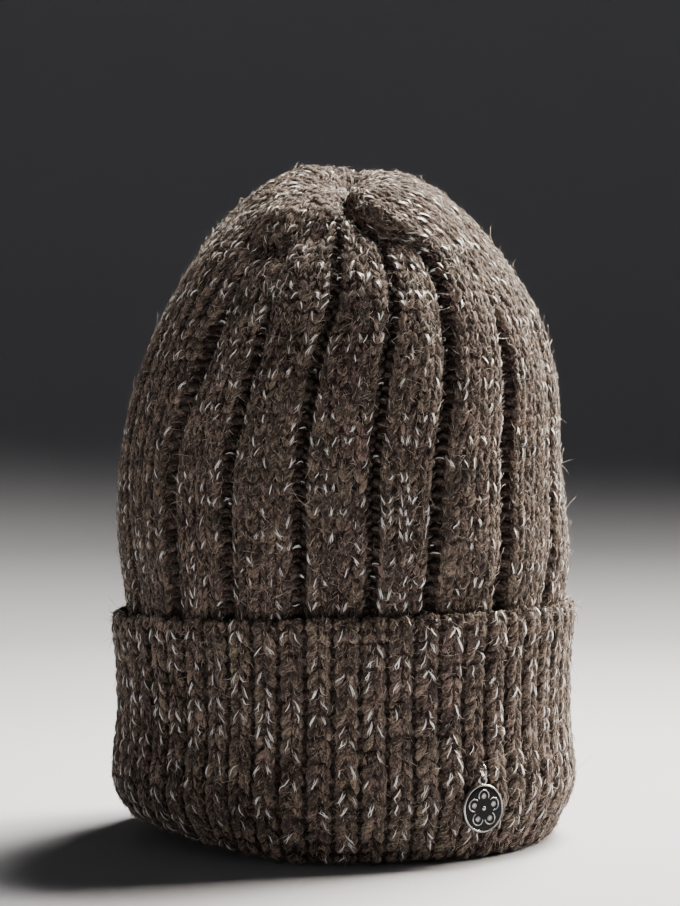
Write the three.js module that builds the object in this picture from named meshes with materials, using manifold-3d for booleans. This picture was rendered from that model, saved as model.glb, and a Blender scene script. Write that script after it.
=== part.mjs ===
// Knitted winter hat: a wide-ribbed crown drawn together off-centre at the top,
// a turned-up cuff of narrow ribs folded double, and a small enamelled charm
// that hangs on a jump ring from the front right of the cuff.
//
// Units are millimetres and degrees. The hat stands on z = 0 with its opening
// down, its axis on the z axis and its front towards -y. An azimuth is counted
// from the front towards +x.

import * as THREE from 'three';
import { mergeVertices } from 'three/addons/utils/BufferGeometryUtils.js';
import Module from 'manifold-3d';

const wasm = await Module();
wasm.setup();

// Knit
const CROWN_RIBS = 18;
const FACETS_PER_RIB = 5;
const CUFF_RIBS = 56;
const FACETS_PER_CUFF_RIB = 2;
const CUFF_GAP_AZIMUTH = 3.8;
const CUFF_RELIEF = 1.5;
const GROOVE_WALL = 3.2;
const RIB_SHOULDER_POWER = 4.5;
const RIB_ROUNDING = 0.62;
const INNER_DENT_SHARE = 0.9;

// Cuff edge, higher towards the right
const CUFF_EDGE_SWAY = 2.0;
const CUFF_EDGE_SWAY_AZIMUTH = 80;
const CUFF_EDGE_SWAY_START = 40;
const CUFF_EDGE_HEIGHT = 82.3;
const CUFF_EDGE_ROLL = 3;

// The left side of the fold is lifted off the surface
const FOLD_LIFT_REACH = 22;

// Gap kept between separate pieces
const SEAT_GAP = 0.3;

// Charm
const CHARM_AZIMUTH = 32.8;
const CHARM_HEIGHT = 18.8;
const DISC_RADIUS = 8;
const DISC_THICKNESS = 1.5;
const DISC_CHAMFER = 0.15;
const RIM_WIDTH = 0.7;
const TRAY_DEPTH = 0.45;
const LUG_RADIUS = 1.9;
const LUG_HOLE_RADIUS = 1.0;
const LUG_THICKNESS = 1.1;
const LUG_BACK = 0.1;
const LUG_RISE = 1.3;
const RING_RADIUS = 2.7;
const WIRE_RADIUS = 0.4;
const RING_SINK = 0.2;
const RING_HANG = 0.15;
const PETALS = 5;
const PETAL_DISTANCE = 4.1;
const PETAL_RADIUS = 2.0;
const PETAL_SPREAD = 240;
const PETAL_STROKE = 0.45;
const BEAD_RADIUS = 0.75;
const ENAMEL_THICKNESS = 0.25;
const ENAMEL_GAP = 0.1;
const STONE_RADIUS = 0.68;
const STONE_HEIGHT = 0.75;
const STONE_PIT_DEPTH = 0.3;
const STONE_GAP = 0.12;
const STONE_FOOT_SHARE = 0.5;
const STONE_TABLE_SHARE = 0.6;
const STONE_GIRDLE_SHARE = 0.6;

// How far a cutting solid reaches past the face it cuts
const CUT_REACH = 1;

// Crown, one row per knitted round from the cuff to the gathered top.
// radius is that of the rib tops, relief the depth of the grooves, forward the
// shift of the round towards the front and tilt its slope down to the front.
const CROWN_ROUNDS = [
  { height: 70.0, radius: 77.1, side: 0.2, forward: 0.0, tilt: 0.0, relief: 2.0 },
  { height: 83.5, radius: 78.8, side: 0.4, forward: 0.0, tilt: 0.0, relief: 3.2 },
  { height: 101.4, radius: 80.7, side: 0.4, forward: 0.0, tilt: 0.0, relief: 4.2 },
  { height: 119.2, radius: 80.2, side: -0.6, forward: 0.0, tilt: 0.0, relief: 4.4 },
  { height: 137.0, radius: 78.7, side: -0.6, forward: 0.0, tilt: 0.0, relief: 4.4 },
  { height: 154.9, radius: 76.6, side: 0.7, forward: 0.3, tilt: 0.5, relief: 4.4 },
  { height: 172.7, radius: 72.2, side: 2.1, forward: 1.0, tilt: 1.5, relief: 4.2 },
  { height: 190.5, radius: 65.1, side: 2.8, forward: 3.0, tilt: 4.0, relief: 3.7 },
  { height: 207.0, radius: 54.5, side: 2.0, forward: 6.0, tilt: 8.0, relief: 3.0 },
  { height: 219.5, radius: 43.5, side: 1.6, forward: 9.5, tilt: 12.5, relief: 2.2 },
  { height: 227.5, radius: 33.0, side: 1.4, forward: 13.5, tilt: 17.0, relief: 1.6 },
  { height: 231.5, radius: 23.5, side: 1.2, forward: 17.0, tilt: 20.5, relief: 1.1 },
  { height: 232.0, radius: 15.0, side: 1.0, forward: 19.0, tilt: 21.0, relief: 0.7 },
  { height: 229.5, radius: 7.5, side: 1.0, forward: 20.0, tilt: 18.0, relief: 0.3 },
  { height: 226.0, radius: 0.0, side: 1.0, forward: 20.0, tilt: 0.0, relief: 0.0 },
];
const INNER_ROUNDS = [0, 1, 3, 5, 7, 8, 9, 10, 12, 14];

// Azimuths of the grooves that face the front, at four heights of the crown.
// The others are spread evenly over the sides and the back.
const GROOVE_HEIGHTS = { low: 90, middle: 137, high: 170, top: 200 };
const FRONT_GROOVES = [
  { low: -68.4, middle: -74.0, high: -74.0, top: -73.0 },
  { low: -46.5, middle: -47.6, high: -42.0, top: -40.0 },
  { low: -30.0, middle: -29.2, high: -26.4, top: -25.5 },
  { low: -11.4, middle: -9.9, high: -8.6, top: -4.5 },
  { low: 6.3, middle: 8.3, high: 9.9, top: 13.8 },
  { low: 20.6, middle: 25.3, high: 28.5, top: 30.1 },
  { low: 41.8, middle: 45.7, high: 48.0, top: 48.5 },
  { low: 62.3, middle: 69.5, high: 73.0, top: 73.0 },
];

// Dents and lobes of the gathered top. rise is outwards, and each fades to
// nothing over its left, right and radius spans.
const CROWN_DENTS = [
  { name: 'left lobe', azimuth: -62, left: 40, right: 36, radius: 27, reach: 17, rise: 1.4 },
  { name: 'left pillow', azimuth: -38, left: 30, right: 26, radius: 36, reach: 12, rise: 2.2 },
  { name: 'left crease', azimuth: -34, left: 16, right: 14, radius: 50, reach: 6, rise: -3.0 },
  { name: 'left crease end', azimuth: -13, left: 12, right: 9, radius: 43, reach: 6, rise: -3.2 },
  { name: 'back notch', azimuth: 176, left: 24, right: 24, radius: 15, reach: 15, rise: -4.0 },
  { name: 'right crease', azimuth: 27, left: 6, right: 5, radius: 68, reach: 14, rise: -1.8 },
];

// The right lobe folds over the ribs at the front. By radius of the round: how
// far its lip leans to the left, how far the lobe rises and the tuck sinks.
const LOBE_AZIMUTH = 30.1;
const LOBE_LEAST_RADIUS = 25;
const LOBE_ROWS = [
  { radius: 0, lean: 0.0, rise: 0.0, sink: 0.0 },
  { radius: 7, lean: 2.2, rise: 0.6, sink: 2.0 },
  { radius: 15, lean: 4.8, rise: 1.6, sink: 5.5 },
  { radius: 24, lean: 7.4, rise: 2.6, sink: 9.0 },
  { radius: 31, lean: 8.3, rise: 3.2, sink: 10.5 },
  { radius: 35, lean: 7.8, rise: 3.4, sink: 10.5 },
  { radius: 39, lean: 6.8, rise: 3.5, sink: 9.0 },
  { radius: 44, lean: 3.0, rise: 3.2, sink: 4.5 },
  { radius: 48, lean: 0.8, rise: 2.6, sink: 1.2 },
  { radius: 53, lean: 0.3, rise: 1.8, sink: 0.3 },
  { radius: 60, lean: 0.0, rise: 0.6, sink: 0.0 },
];

// Outlines across that fold, counted to the right of the lip.
const LOBE_LEAN_STEPS = [
  { at: -2.9, share: 0 },
  { at: -0.3, share: 1 },
  { at: 4.6, share: 1 },
  { at: 27.0, share: 0 },
];
const LOBE_RISE_STEPS = [
  { at: -1.2, share: 0 },
  { at: 6.5, share: 1 },
  { at: 15.0, share: 1 },
  { at: 31.0, share: 0 },
];
const TUCK_SINK_STEPS = [
  { at: -27.0, share: 0 },
  { at: -15.0, share: 1 },
  { at: -3.5, share: 1 },
  { at: 5.5, share: 0 },
];

// Where the ribs flatten out towards the top: by azimuth, from which round to
// which, and what is left of their relief.
const RIB_FADES = [
  { azimuth: -180, from: 7.0, to: 9.5, left: 0.55 },
  { azimuth: -110, from: 7.0, to: 9.0, left: 0.50 },
  { azimuth: -75, from: 5.9, to: 7.4, left: 0.25 },
  { azimuth: -22, from: 5.9, to: 7.4, left: 0.25 },
  { azimuth: -10, from: 8.2, to: 9.6, left: 0.60 },
  { azimuth: 27, from: 8.2, to: 9.6, left: 0.60 },
  { azimuth: 38, from: 5.9, to: 7.2, left: 0.25 },
  { azimuth: 75, from: 5.9, to: 7.4, left: 0.25 },
  { azimuth: 110, from: 7.0, to: 9.0, left: 0.50 },
  { azimuth: 180, from: 7.0, to: 9.5, left: 0.55 },
];

// Lift of the folded edge off the surface, round the left side.
const FOLD_LIFTS = [
  { azimuth: -180, lift: 0.0 },
  { azimuth: -150, lift: 0.0 },
  { azimuth: -110, lift: 5.0 },
  { azimuth: -90, lift: 7.0 },
  { azimuth: -75, lift: 7.5 },
  { azimuth: -60, lift: 7.0 },
  { azimuth: -45, lift: 5.3 },
  { azimuth: -30, lift: 3.0 },
  { azimuth: -13, lift: 0.0 },
  { azimuth: 180, lift: 0.0 },
];

// Section of the cuff, from the outer end of the flat underside up the outer
// layer, over the edge, down the slot between the layers, up again and back
// down the inside. ribbed is the share of the rib relief that shows there.
const CUFF_SECTION = [
  { radius: 74.8, height: 0.0, ribbed: 0.0 },
  { radius: 77.2, height: 5.2, ribbed: 0.6 },
  { radius: 81.2, height: 13.5, ribbed: 1.0 },
  { radius: 83.4, height: 24.0, ribbed: 1.0 },
  { radius: 81.7, height: 44.0, ribbed: 1.0 },
  { radius: 82.2, height: 66.0, ribbed: 1.0 },
  { radius: 83.3, height: 77.0, ribbed: 0.8 },
  { radius: 81.2, height: CUFF_EDGE_HEIGHT, ribbed: 0.3 },
  { radius: 79.7, height: 80.4, ribbed: 0.0 },
  { radius: 78.4, height: 70.0, ribbed: 0.0 },
  { radius: 77.6, height: 20.0, ribbed: 0.0 },
  { radius: 76.9, height: 20.0, ribbed: 0.0 },
  { radius: 77.1, height: 69.7, ribbed: 0.0 },
  { radius: 72.7, height: 69.7, ribbed: 0.0 },
  { radius: 71.8, height: 36.0, ribbed: 0.0 },
  { radius: 68.6, height: 10.0, ribbed: 0.0 },
  { radius: 70.8, height: 0.0, ribbed: 0.0 },
];

const radians = THREE.MathUtils.degToRad;

function knitMaterial(color) {
  return new THREE.MeshStandardMaterial({ color, roughness: 0.95, metalness: 0 });
}

// Value of one column of a table at a place along its key column.
function lookUp(table, key, column, place) {
  const last = table.length - 1;
  if (place <= table[0][key]) return table[0][column];
  for (let i = 0; i < last; i += 1) {
    const from = table[i];
    const to = table[i + 1];
    if (place <= to[key]) {
      const share = (place - from[key]) / (to[key] - from[key]);
      return THREE.MathUtils.lerp(from[column], to[column], share);
    }
  }
  return table[last][column];
}

function halfTurnDifference(a, b) {
  return THREE.MathUtils.euclideanModulo(a - b + 180, 360) - 180;
}

// Smooth bump of height 1 that falls to 0 at its spans.
function swell(offset, spanBelow, spanAbove) {
  const share = Math.min(1, Math.abs(offset) / (offset < 0 ? spanBelow : spanAbove));
  return (1 - share * share) ** 2;
}

function localSwell(feature, azimuth, radius) {
  const across = halfTurnDifference(azimuth, feature.azimuth);
  const alongRound = swell(across, feature.left, feature.right);
  return alongRound * swell(radius - feature.radius, feature.reach, feature.reach);
}

// A point of the crown's rib tops before dents, for a round between two rows.
function plainCrownPoint(azimuth, round) {
  const below = CROWN_ROUNDS[Math.floor(round)];
  const above = CROWN_ROUNDS[Math.min(Math.floor(round) + 1, CROWN_ROUNDS.length - 1)];
  const share = round - Math.floor(round);
  const at = (column) => THREE.MathUtils.lerp(below[column], above[column], share);
  const across = at('radius') * Math.sin(radians(azimuth));
  const front = at('radius') * Math.cos(radians(azimuth));
  const tilt = radians(at('tilt'));
  return new THREE.Vector3(
    at('side') + across,
    -at('forward') - front * Math.cos(tilt),
    at('height') - front * Math.sin(tilt),
  );
}

function crownNormal(azimuth, round) {
  const last = CROWN_ROUNDS.length - 1;
  if (round === last) return new THREE.Vector3(0, 0, 1);
  const step = 0.5;
  const right = plainCrownPoint(azimuth + step, round);
  const left = plainCrownPoint(azimuth - step, round);
  const up = plainCrownPoint(azimuth, Math.min(round + step, last - 0.01));
  const down = plainCrownPoint(azimuth, Math.max(round - step, 0));
  return right.sub(left).cross(up.sub(down)).normalize();
}

// Value of a stepped outline, eased in and out between its steps.
function eased(steps, offset) {
  const last = steps.length - 1;
  if (offset <= steps[0].at) return steps[0].share;
  for (let i = 0; i < last; i += 1) {
    if (offset <= steps[i + 1].at) {
      const way = THREE.MathUtils.smoothstep(offset, steps[i].at, steps[i + 1].at);
      return THREE.MathUtils.lerp(steps[i].share, steps[i + 1].share, way);
    }
  }
  return steps[last].share;
}

function pastLip(azimuth, radius) {
  return radians(halfTurnDifference(azimuth, LOBE_AZIMUTH)) * Math.max(radius, LOBE_LEAST_RADIUS);
}

function dentRise(azimuth, radius) {
  let rise = 0;
  for (const dent of CROWN_DENTS) {
    rise += dent.rise * localSwell(dent, azimuth, radius);
  }
  const offset = pastLip(azimuth, radius);
  rise += lookUp(LOBE_ROWS, 'radius', 'rise', radius) * eased(LOBE_RISE_STEPS, offset);
  rise -= lookUp(LOBE_ROWS, 'radius', 'sink', radius) * eased(TUCK_SINK_STEPS, offset);
  return rise;
}

function ribFade(azimuth, round) {
  const place = halfTurnDifference(azimuth, 0);
  const at = (column) => lookUp(RIB_FADES, 'azimuth', column, place);
  return 1 - (1 - at('left')) * THREE.MathUtils.smoothstep(round, at('from'), at('to'));
}

function grooveAzimuths(height) {
  const levels = Object.entries(GROOVE_HEIGHTS);
  const front = FRONT_GROOVES.map((groove) => {
    const line = levels.map(([name, level]) => ({ level, azimuth: groove[name] }));
    return lookUp(line, 'level', 'azimuth', height);
  });
  const first = front[0] + 360;
  const lastFront = front[front.length - 1];
  const spread = CROWN_RIBS - front.length + 1;
  for (let i = 1; i < spread; i += 1) {
    front.push(lastFront + ((first - lastFront) * i) / spread);
  }
  return front;
}

// Share of the rib's full height across one rib, from groove to groove.
function ribArch(share) {
  return (1 - Math.abs(2 * share - 1) ** RIB_SHOULDER_POWER) ** RIB_ROUNDING;
}

// Azimuth of a point of the crown once the lip of the fold leans over.
function leanedAzimuth(azimuth, radius) {
  const lean = lookUp(LOBE_ROWS, 'radius', 'lean', radius);
  const shift = lean * eased(LOBE_LEAN_STEPS, pastLip(azimuth, radius));
  return azimuth - THREE.MathUtils.radToDeg(shift / Math.max(radius, 1));
}

function outerCrownPoint(azimuth, round, arch) {
  const { radius, relief } = CROWN_ROUNDS[round];
  const leaned = leanedAzimuth(azimuth, radius);
  const rise = dentRise(azimuth, radius) - relief * ribFade(azimuth, round) * (1 - arch);
  return plainCrownPoint(leaned, round).addScaledVector(crownNormal(leaned, round), rise);
}

function innerCrownPoint(azimuth, round) {
  const { radius, relief } = CROWN_ROUNDS[round];
  const rise = INNER_DENT_SHARE * dentRise(azimuth, radius) - relief - GROOVE_WALL;
  const normal = crownNormal(azimuth, round);
  if (round === 0) normal.setZ(0).normalize();
  return plainCrownPoint(azimuth, round).addScaledVector(normal, rise);
}

// Joins rings of points, one above the other, into triangles. A ring of one
// point closes the skin there, and closed joins the last ring to the first.
function skinRings(rings, closed) {
  const positions = [];
  const starts = [];
  for (const ring of rings) {
    starts.push(positions.length / 3);
    for (const point of ring) positions.push(point.x, point.y, point.z);
  }
  const index = [];
  const bands = closed ? rings.length : rings.length - 1;
  for (let band = 0; band < bands; band += 1) {
    const next = (band + 1) % rings.length;
    const count = Math.max(rings[band].length, rings[next].length);
    for (let i = 0; i < count; i += 1) {
      const j = (i + 1) % count;
      const low = rings[band].length > 1 ? [starts[band] + i, starts[band] + j] : [starts[band]];
      const high = rings[next].length > 1 ? [starts[next] + i, starts[next] + j] : [starts[next]];
      if (low.length > 1) index.push(low[0], low[1], high[high.length - 1]);
      if (high.length > 1) index.push(low[0], high[1], high[0]);
    }
  }
  const geometry = new THREE.BufferGeometry();
  geometry.setAttribute('position', new THREE.Float32BufferAttribute(positions, 3));
  geometry.setIndex(index);
  return geometry;
}

function toSolid(geometry) {
  const bare = geometry.clone();
  bare.deleteAttribute('normal');
  bare.deleteAttribute('uv');
  const merged = mergeVertices(bare, 1e-4);
  const corners = merged.index.array;
  const kept = [];
  for (let i = 0; i < corners.length; i += 3) {
    const [a, b, c] = [corners[i], corners[i + 1], corners[i + 2]];
    if (a !== b && b !== c && c !== a) kept.push(a, b, c);
  }
  const mesh = new wasm.Mesh({
    numProp: 3,
    vertProperties: merged.attributes.position.array,
    triVerts: new Uint32Array(kept),
  });
  return new wasm.Manifold(mesh);
}

function fromSolid(solid) {
  const mesh = solid.getMesh();
  const geometry = new THREE.BufferGeometry();
  geometry.setAttribute('position', new THREE.BufferAttribute(mesh.vertProperties, 3));
  geometry.setIndex(new THREE.BufferAttribute(mesh.triVerts, 1));
  return geometry;
}

function namedMesh(name, geometry, material) {
  const flat = geometry.index ? geometry.toNonIndexed() : geometry;
  flat.computeVertexNormals();
  const mesh = new THREE.Mesh(flat, material);
  mesh.name = name;
  return mesh;
}

function crownRing(round, pointAt) {
  const grooves = grooveAzimuths(CROWN_ROUNDS[round].height);
  const ring = [];
  for (let rib = 0; rib < CROWN_RIBS; rib += 1) {
    const from = grooves[rib];
    const to = rib + 1 < CROWN_RIBS ? grooves[rib + 1] : grooves[0] + 360;
    for (let facet = 0; facet < FACETS_PER_RIB; facet += 1) {
      const share = facet / FACETS_PER_RIB;
      ring.push(pointAt(THREE.MathUtils.lerp(from, to, share), round, ribArch(share)));
    }
  }
  return ring;
}

function makeCrown() {
  const last = CROWN_ROUNDS.length - 1;
  const outer = CROWN_ROUNDS.map((row, round) => (
    round === last ? [outerCrownPoint(0, round, 1)] : crownRing(round, outerCrownPoint)
  ));
  const inner = INNER_ROUNDS.map((round) => (
    round === last ? [innerCrownPoint(0, round)] : crownRing(round, innerCrownPoint)
  ));
  const up = skinRings([inner[0], ...outer], false);
  const down = skinRings([...inner].reverse(), false);
  const positions = [up, down].flatMap((skin) => [...skin.toNonIndexed().attributes.position.array]);
  const whole = new THREE.BufferGeometry();
  whole.setAttribute('position', new THREE.Float32BufferAttribute(positions, 3));
  return fromSolid(toSolid(whole));
}

function cuffPoint(row, azimuth, onRib) {
  const lift = lookUp(FOLD_LIFTS, 'azimuth', 'lift', halfTurnDifference(azimuth, 0));
  const liftShare = Math.max(0, 1 - row.height / FOLD_LIFT_REACH) ** 2;
  const swaySpan = CUFF_EDGE_HEIGHT - CUFF_EDGE_SWAY_START;
  const swayShare = Math.max(0, row.height - CUFF_EDGE_SWAY_START) / swaySpan;
  const isOuter = row.ribbed > 0 || row.height > CUFF_EDGE_HEIGHT - CUFF_EDGE_ROLL;
  const sway = isOuter ? CUFF_EDGE_SWAY * Math.cos(radians(azimuth - CUFF_EDGE_SWAY_AZIMUTH)) : 0;
  const radius = row.radius - (onRib ? 0 : CUFF_RELIEF * row.ribbed);
  return new THREE.Vector3(
    radius * Math.sin(radians(azimuth)),
    -radius * Math.cos(radians(azimuth)),
    row.height + lift * liftShare + sway * swayShare,
  );
}

function makeCuff(tunnel) {
  const facets = CUFF_RIBS * FACETS_PER_CUFF_RIB;
  const rings = CUFF_SECTION.map((row) => {
    const ring = [];
    for (let facet = 0; facet < facets; facet += 1) {
      const azimuth = CUFF_GAP_AZIMUTH + (360 * facet) / facets;
      ring.push(cuffPoint(row, azimuth, facet % FACETS_PER_CUFF_RIB === 1));
    }
    return ring;
  });
  return fromSolid(toSolid(skinRings(rings, true)).subtract(toSolid(tunnel)));
}

// Puts the charm in its own frame: x to the right, y up, z out of the cuff, with the back
// of the disc at z = 0.
function placeOnCuff(group) {
  const bulge = Math.max(...CUFF_SECTION.map((row) => row.radius));
  const distance = bulge + SEAT_GAP;
  const turn = radians(CHARM_AZIMUTH);
  const basis = new THREE.Matrix4().makeBasis(
    new THREE.Vector3(Math.cos(turn), Math.sin(turn), 0),
    new THREE.Vector3(0, 0, 1),
    new THREE.Vector3(Math.sin(turn), -Math.cos(turn), 0),
  );
  group.quaternion.setFromRotationMatrix(basis);
  group.position.set(distance * Math.sin(turn), -distance * Math.cos(turn), CHARM_HEIGHT);
  group.updateMatrixWorld(true);
}

function turned(profile, segments) {
  const points = profile.map(([radius, depth]) => new THREE.Vector2(radius, depth));
  return new THREE.LatheGeometry(points, segments).rotateX(Math.PI / 2);
}

function upright(radius, from, to, segments) {
  const height = to - from;
  return new THREE.CylinderGeometry(radius, radius, height, segments)
    .rotateX(Math.PI / 2)
    .translate(0, 0, from + height / 2);
}

const trayFloor = DISC_THICKNESS - TRAY_DEPTH;
const lugCentre = DISC_RADIUS + LUG_RISE;
const petalAzimuths = Array.from({ length: PETALS }, (_, i) => 90 + (360 * i) / PETALS);

function petalCentre(azimuth) {
  return [PETAL_DISTANCE * Math.cos(radians(azimuth)), PETAL_DISTANCE * Math.sin(radians(azimuth))];
}

function petalLine(azimuth, grow, from, to) {
  const [x, y] = petalCentre(azimuth);
  const half = PETAL_STROKE / 2 + grow;
  const start = radians(azimuth - PETAL_SPREAD / 2) - grow / PETAL_RADIUS;
  const end = radians(azimuth + PETAL_SPREAD / 2) + grow / PETAL_RADIUS;
  const outline = new THREE.Shape();
  outline.absarc(x, y, PETAL_RADIUS + half, start, end, false);
  outline.absarc(x, y, PETAL_RADIUS - half, end, start, true);
  const settings = { depth: to - from, bevelEnabled: false, curveSegments: 5 };
  return new THREE.ExtrudeGeometry(outline, settings).translate(0, 0, from);
}

function stonePit(azimuth, from, to) {
  const [x, y] = petalCentre(azimuth);
  return upright(STONE_RADIUS + STONE_GAP, from, to, 10).translate(x, y, 0);
}

function makeDisc() {
  const edge = DISC_RADIUS - DISC_CHAMFER;
  const face = DISC_THICKNESS - DISC_CHAMFER;
  const tray = DISC_RADIUS - RIM_WIDTH;
  const plate = turned([
    [0, 0], [edge, 0], [DISC_RADIUS, DISC_CHAMFER], [DISC_RADIUS, face],
    [edge, DISC_THICKNESS], [tray, DISC_THICKNESS], [tray, trayFloor], [0, trayFloor],
  ], 40);
  const embedded = trayFloor - ENAMEL_GAP;
  let solid = toSolid(plate);
  const lugFront = LUG_BACK + LUG_THICKNESS;
  solid = solid.add(toSolid(upright(LUG_RADIUS, LUG_BACK, lugFront, 18).translate(0, lugCentre, 0)));
  const hole = upright(LUG_HOLE_RADIUS, -CUT_REACH, DISC_THICKNESS + CUT_REACH, 16);
  solid = solid.subtract(toSolid(hole.translate(0, lugCentre, 0)));
  solid = solid.add(toSolid(upright(BEAD_RADIUS, embedded, DISC_THICKNESS, 14)));
  for (const azimuth of petalAzimuths) {
    solid = solid.add(toSolid(petalLine(azimuth, 0, embedded, DISC_THICKNESS)));
    const pitFloor = trayFloor - STONE_PIT_DEPTH;
    solid = solid.subtract(toSolid(stonePit(azimuth, pitFloor, DISC_THICKNESS + CUT_REACH)));
  }
  return fromSolid(solid);
}

function makeEnamel() {
  const bottom = trayFloor + ENAMEL_GAP;
  const top = bottom + ENAMEL_THICKNESS;
  let solid = toSolid(upright(DISC_RADIUS - RIM_WIDTH - ENAMEL_GAP, bottom, top, 40));
  solid = solid.subtract(toSolid(upright(BEAD_RADIUS + ENAMEL_GAP, 0, DISC_THICKNESS, 14)));
  for (const azimuth of petalAzimuths) {
    solid = solid.subtract(toSolid(petalLine(azimuth, ENAMEL_GAP, 0, DISC_THICKNESS)));
    solid = solid.subtract(toSolid(stonePit(azimuth, 0, DISC_THICKNESS)));
  }
  return fromSolid(solid);
}

function makeStone() {
  return turned([
    [0, 0],
    [STONE_RADIUS * STONE_FOOT_SHARE, 0],
    [STONE_RADIUS, STONE_HEIGHT * STONE_GIRDLE_SHARE],
    [STONE_RADIUS * STONE_TABLE_SHARE, STONE_HEIGHT],
    [0, STONE_HEIGHT],
  ], 10);
}

// Wire ring in the upright plane across the disc, through the lug's hole and a
// stretch of the knit.
function makeRing(wireRadius) {
  const lugMiddle = LUG_BACK + LUG_THICKNESS / 2;
  const offset = lugMiddle + RING_SINK;
  const drop = Math.sqrt(RING_RADIUS ** 2 - offset ** 2);
  const wireHeight = lugCentre + RING_HANG;
  return new THREE.TorusGeometry(RING_RADIUS, wireRadius, 10, 30)
    .rotateY(Math.PI / 2)
    .translate(0, wireHeight + drop, -RING_SINK);
}

const silver = new THREE.MeshStandardMaterial({ color: 0xb9bbbc, roughness: 0.22, metalness: 1 });
const enamel = new THREE.MeshStandardMaterial({ color: 0x0b0b0c, roughness: 0.12, metalness: 0 });
const crystal = new THREE.MeshStandardMaterial({ color: 0xf3f6f7, roughness: 0.05, metalness: 0 });

const group = new THREE.Group();
const charm = new THREE.Group();
placeOnCuff(charm);

const tunnel = makeRing(WIRE_RADIUS + SEAT_GAP).applyMatrix4(charm.matrixWorld);
group.add(namedMesh('crown', makeCrown(), knitMaterial(0x6b5c4f)));
group.add(namedMesh('cuff', makeCuff(tunnel), knitMaterial(0x75665a)));

charm.add(namedMesh('charm_disc', makeDisc(), silver));
charm.add(namedMesh('charm_enamel', makeEnamel(), enamel));
charm.add(namedMesh('charm_ring', makeRing(WIRE_RADIUS), silver));
petalAzimuths.forEach((azimuth, i) => {
  const stone = namedMesh(`charm_stone_${i + 1}`, makeStone(), crystal);
  const [x, y] = petalCentre(azimuth);
  stone.position.set(x, y, trayFloor - STONE_PIT_DEPTH + STONE_GAP);
  charm.add(stone);
});
group.add(charm);

export default group;
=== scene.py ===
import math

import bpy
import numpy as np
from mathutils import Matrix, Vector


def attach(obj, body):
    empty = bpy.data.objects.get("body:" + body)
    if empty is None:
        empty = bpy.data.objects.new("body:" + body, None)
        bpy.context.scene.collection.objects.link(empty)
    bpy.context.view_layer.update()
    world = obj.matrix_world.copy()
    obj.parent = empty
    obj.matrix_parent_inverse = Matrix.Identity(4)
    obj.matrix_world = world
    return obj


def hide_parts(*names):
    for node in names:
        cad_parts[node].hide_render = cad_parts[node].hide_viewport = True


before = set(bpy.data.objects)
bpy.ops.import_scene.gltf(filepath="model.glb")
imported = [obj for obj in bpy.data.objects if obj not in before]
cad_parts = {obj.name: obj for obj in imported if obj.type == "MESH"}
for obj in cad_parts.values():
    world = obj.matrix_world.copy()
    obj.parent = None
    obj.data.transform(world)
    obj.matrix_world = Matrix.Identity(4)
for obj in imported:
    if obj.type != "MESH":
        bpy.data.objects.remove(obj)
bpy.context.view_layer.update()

# The looks of a knitted winter hat: every stitch, loop, shiny thread and loose
# fibre of its crown and cuff, and a small enamelled charm. Lengths are in
# millimetres until a mesh is made. Azimuths are in degrees from the front (-y)
# towards +x.

MM = 0.001
SEED = 20417
random = np.random.default_rng(SEED)

# Rounds of the crown from its lower end to the gather: height, radius, shift to
# the side, shift to the front, slope down to the front, depth of the grooves
CROWN_ROUNDS = np.array([
    (70.0, 77.1, 0.2, 0.0, 0.0, 2.0),
    (83.5, 78.8, 0.4, 0.0, 0.0, 3.2),
    (101.4, 80.7, 0.4, 0.0, 0.0, 4.2),
    (119.2, 80.2, -0.6, 0.0, 0.0, 4.4),
    (137.0, 78.7, -0.6, 0.0, 0.0, 4.4),
    (154.9, 76.6, 0.7, 0.3, 0.5, 4.4),
    (172.7, 72.2, 2.1, 1.0, 1.5, 4.2),
    (190.5, 65.1, 2.8, 3.0, 4.0, 3.7),
    (207.0, 54.5, 2.0, 6.0, 8.0, 3.0),
    (219.5, 43.5, 1.6, 9.5, 12.5, 2.2),
    (227.5, 33.0, 1.4, 13.5, 17.0, 1.6),
    (231.5, 23.5, 1.2, 17.0, 20.5, 1.1),
    (232.0, 15.0, 1.0, 19.0, 21.0, 0.7),
    (229.5, 7.5, 1.0, 20.0, 18.0, 0.3),
    (226.0, 0.0, 1.0, 20.0, 0.0, 0.0),
])
LAST_ROUND = len(CROWN_ROUNDS) - 1
CROWN_RIBS = 18

# Azimuths of the grooves that face the front, at four heights
GROOVE_HEIGHTS = (90.0, 137.0, 170.0, 200.0)
FRONT_GROOVES = np.array([
    (-68.4, -74.0, -74.0, -73.0),
    (-46.5, -47.6, -42.0, -40.0),
    (-30.0, -29.2, -26.4, -25.5),
    (-11.4, -9.9, -8.6, -4.5),
    (6.3, 8.3, 9.9, 13.8),
    (20.6, 25.3, 28.5, 30.1),
    (41.8, 45.7, 48.0, 48.5),
    (62.3, 69.5, 73.0, 73.0),
])

# Lobes and dents of the gathered top: azimuth, left span, right span, radius
# of the round, reach over the rounds, rise
CROWN_DENTS = {
    "left lobe": (-62, 40, 36, 27, 17, 1.4),
    "left pillow": (-38, 30, 26, 36, 12, 2.2),
    "left crease": (-34, 16, 14, 50, 6, -3.0),
    "left crease end": (-14, 13, 10, 42, 8, -2.2),
    "left peak": (-142, 52, 40, 27, 20, 1.7),
    "back notch": (177, 36, 30, 13, 14, -7.5),
    "right crease": (27, 6, 5, 68, 14, -1.8),
}

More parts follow.
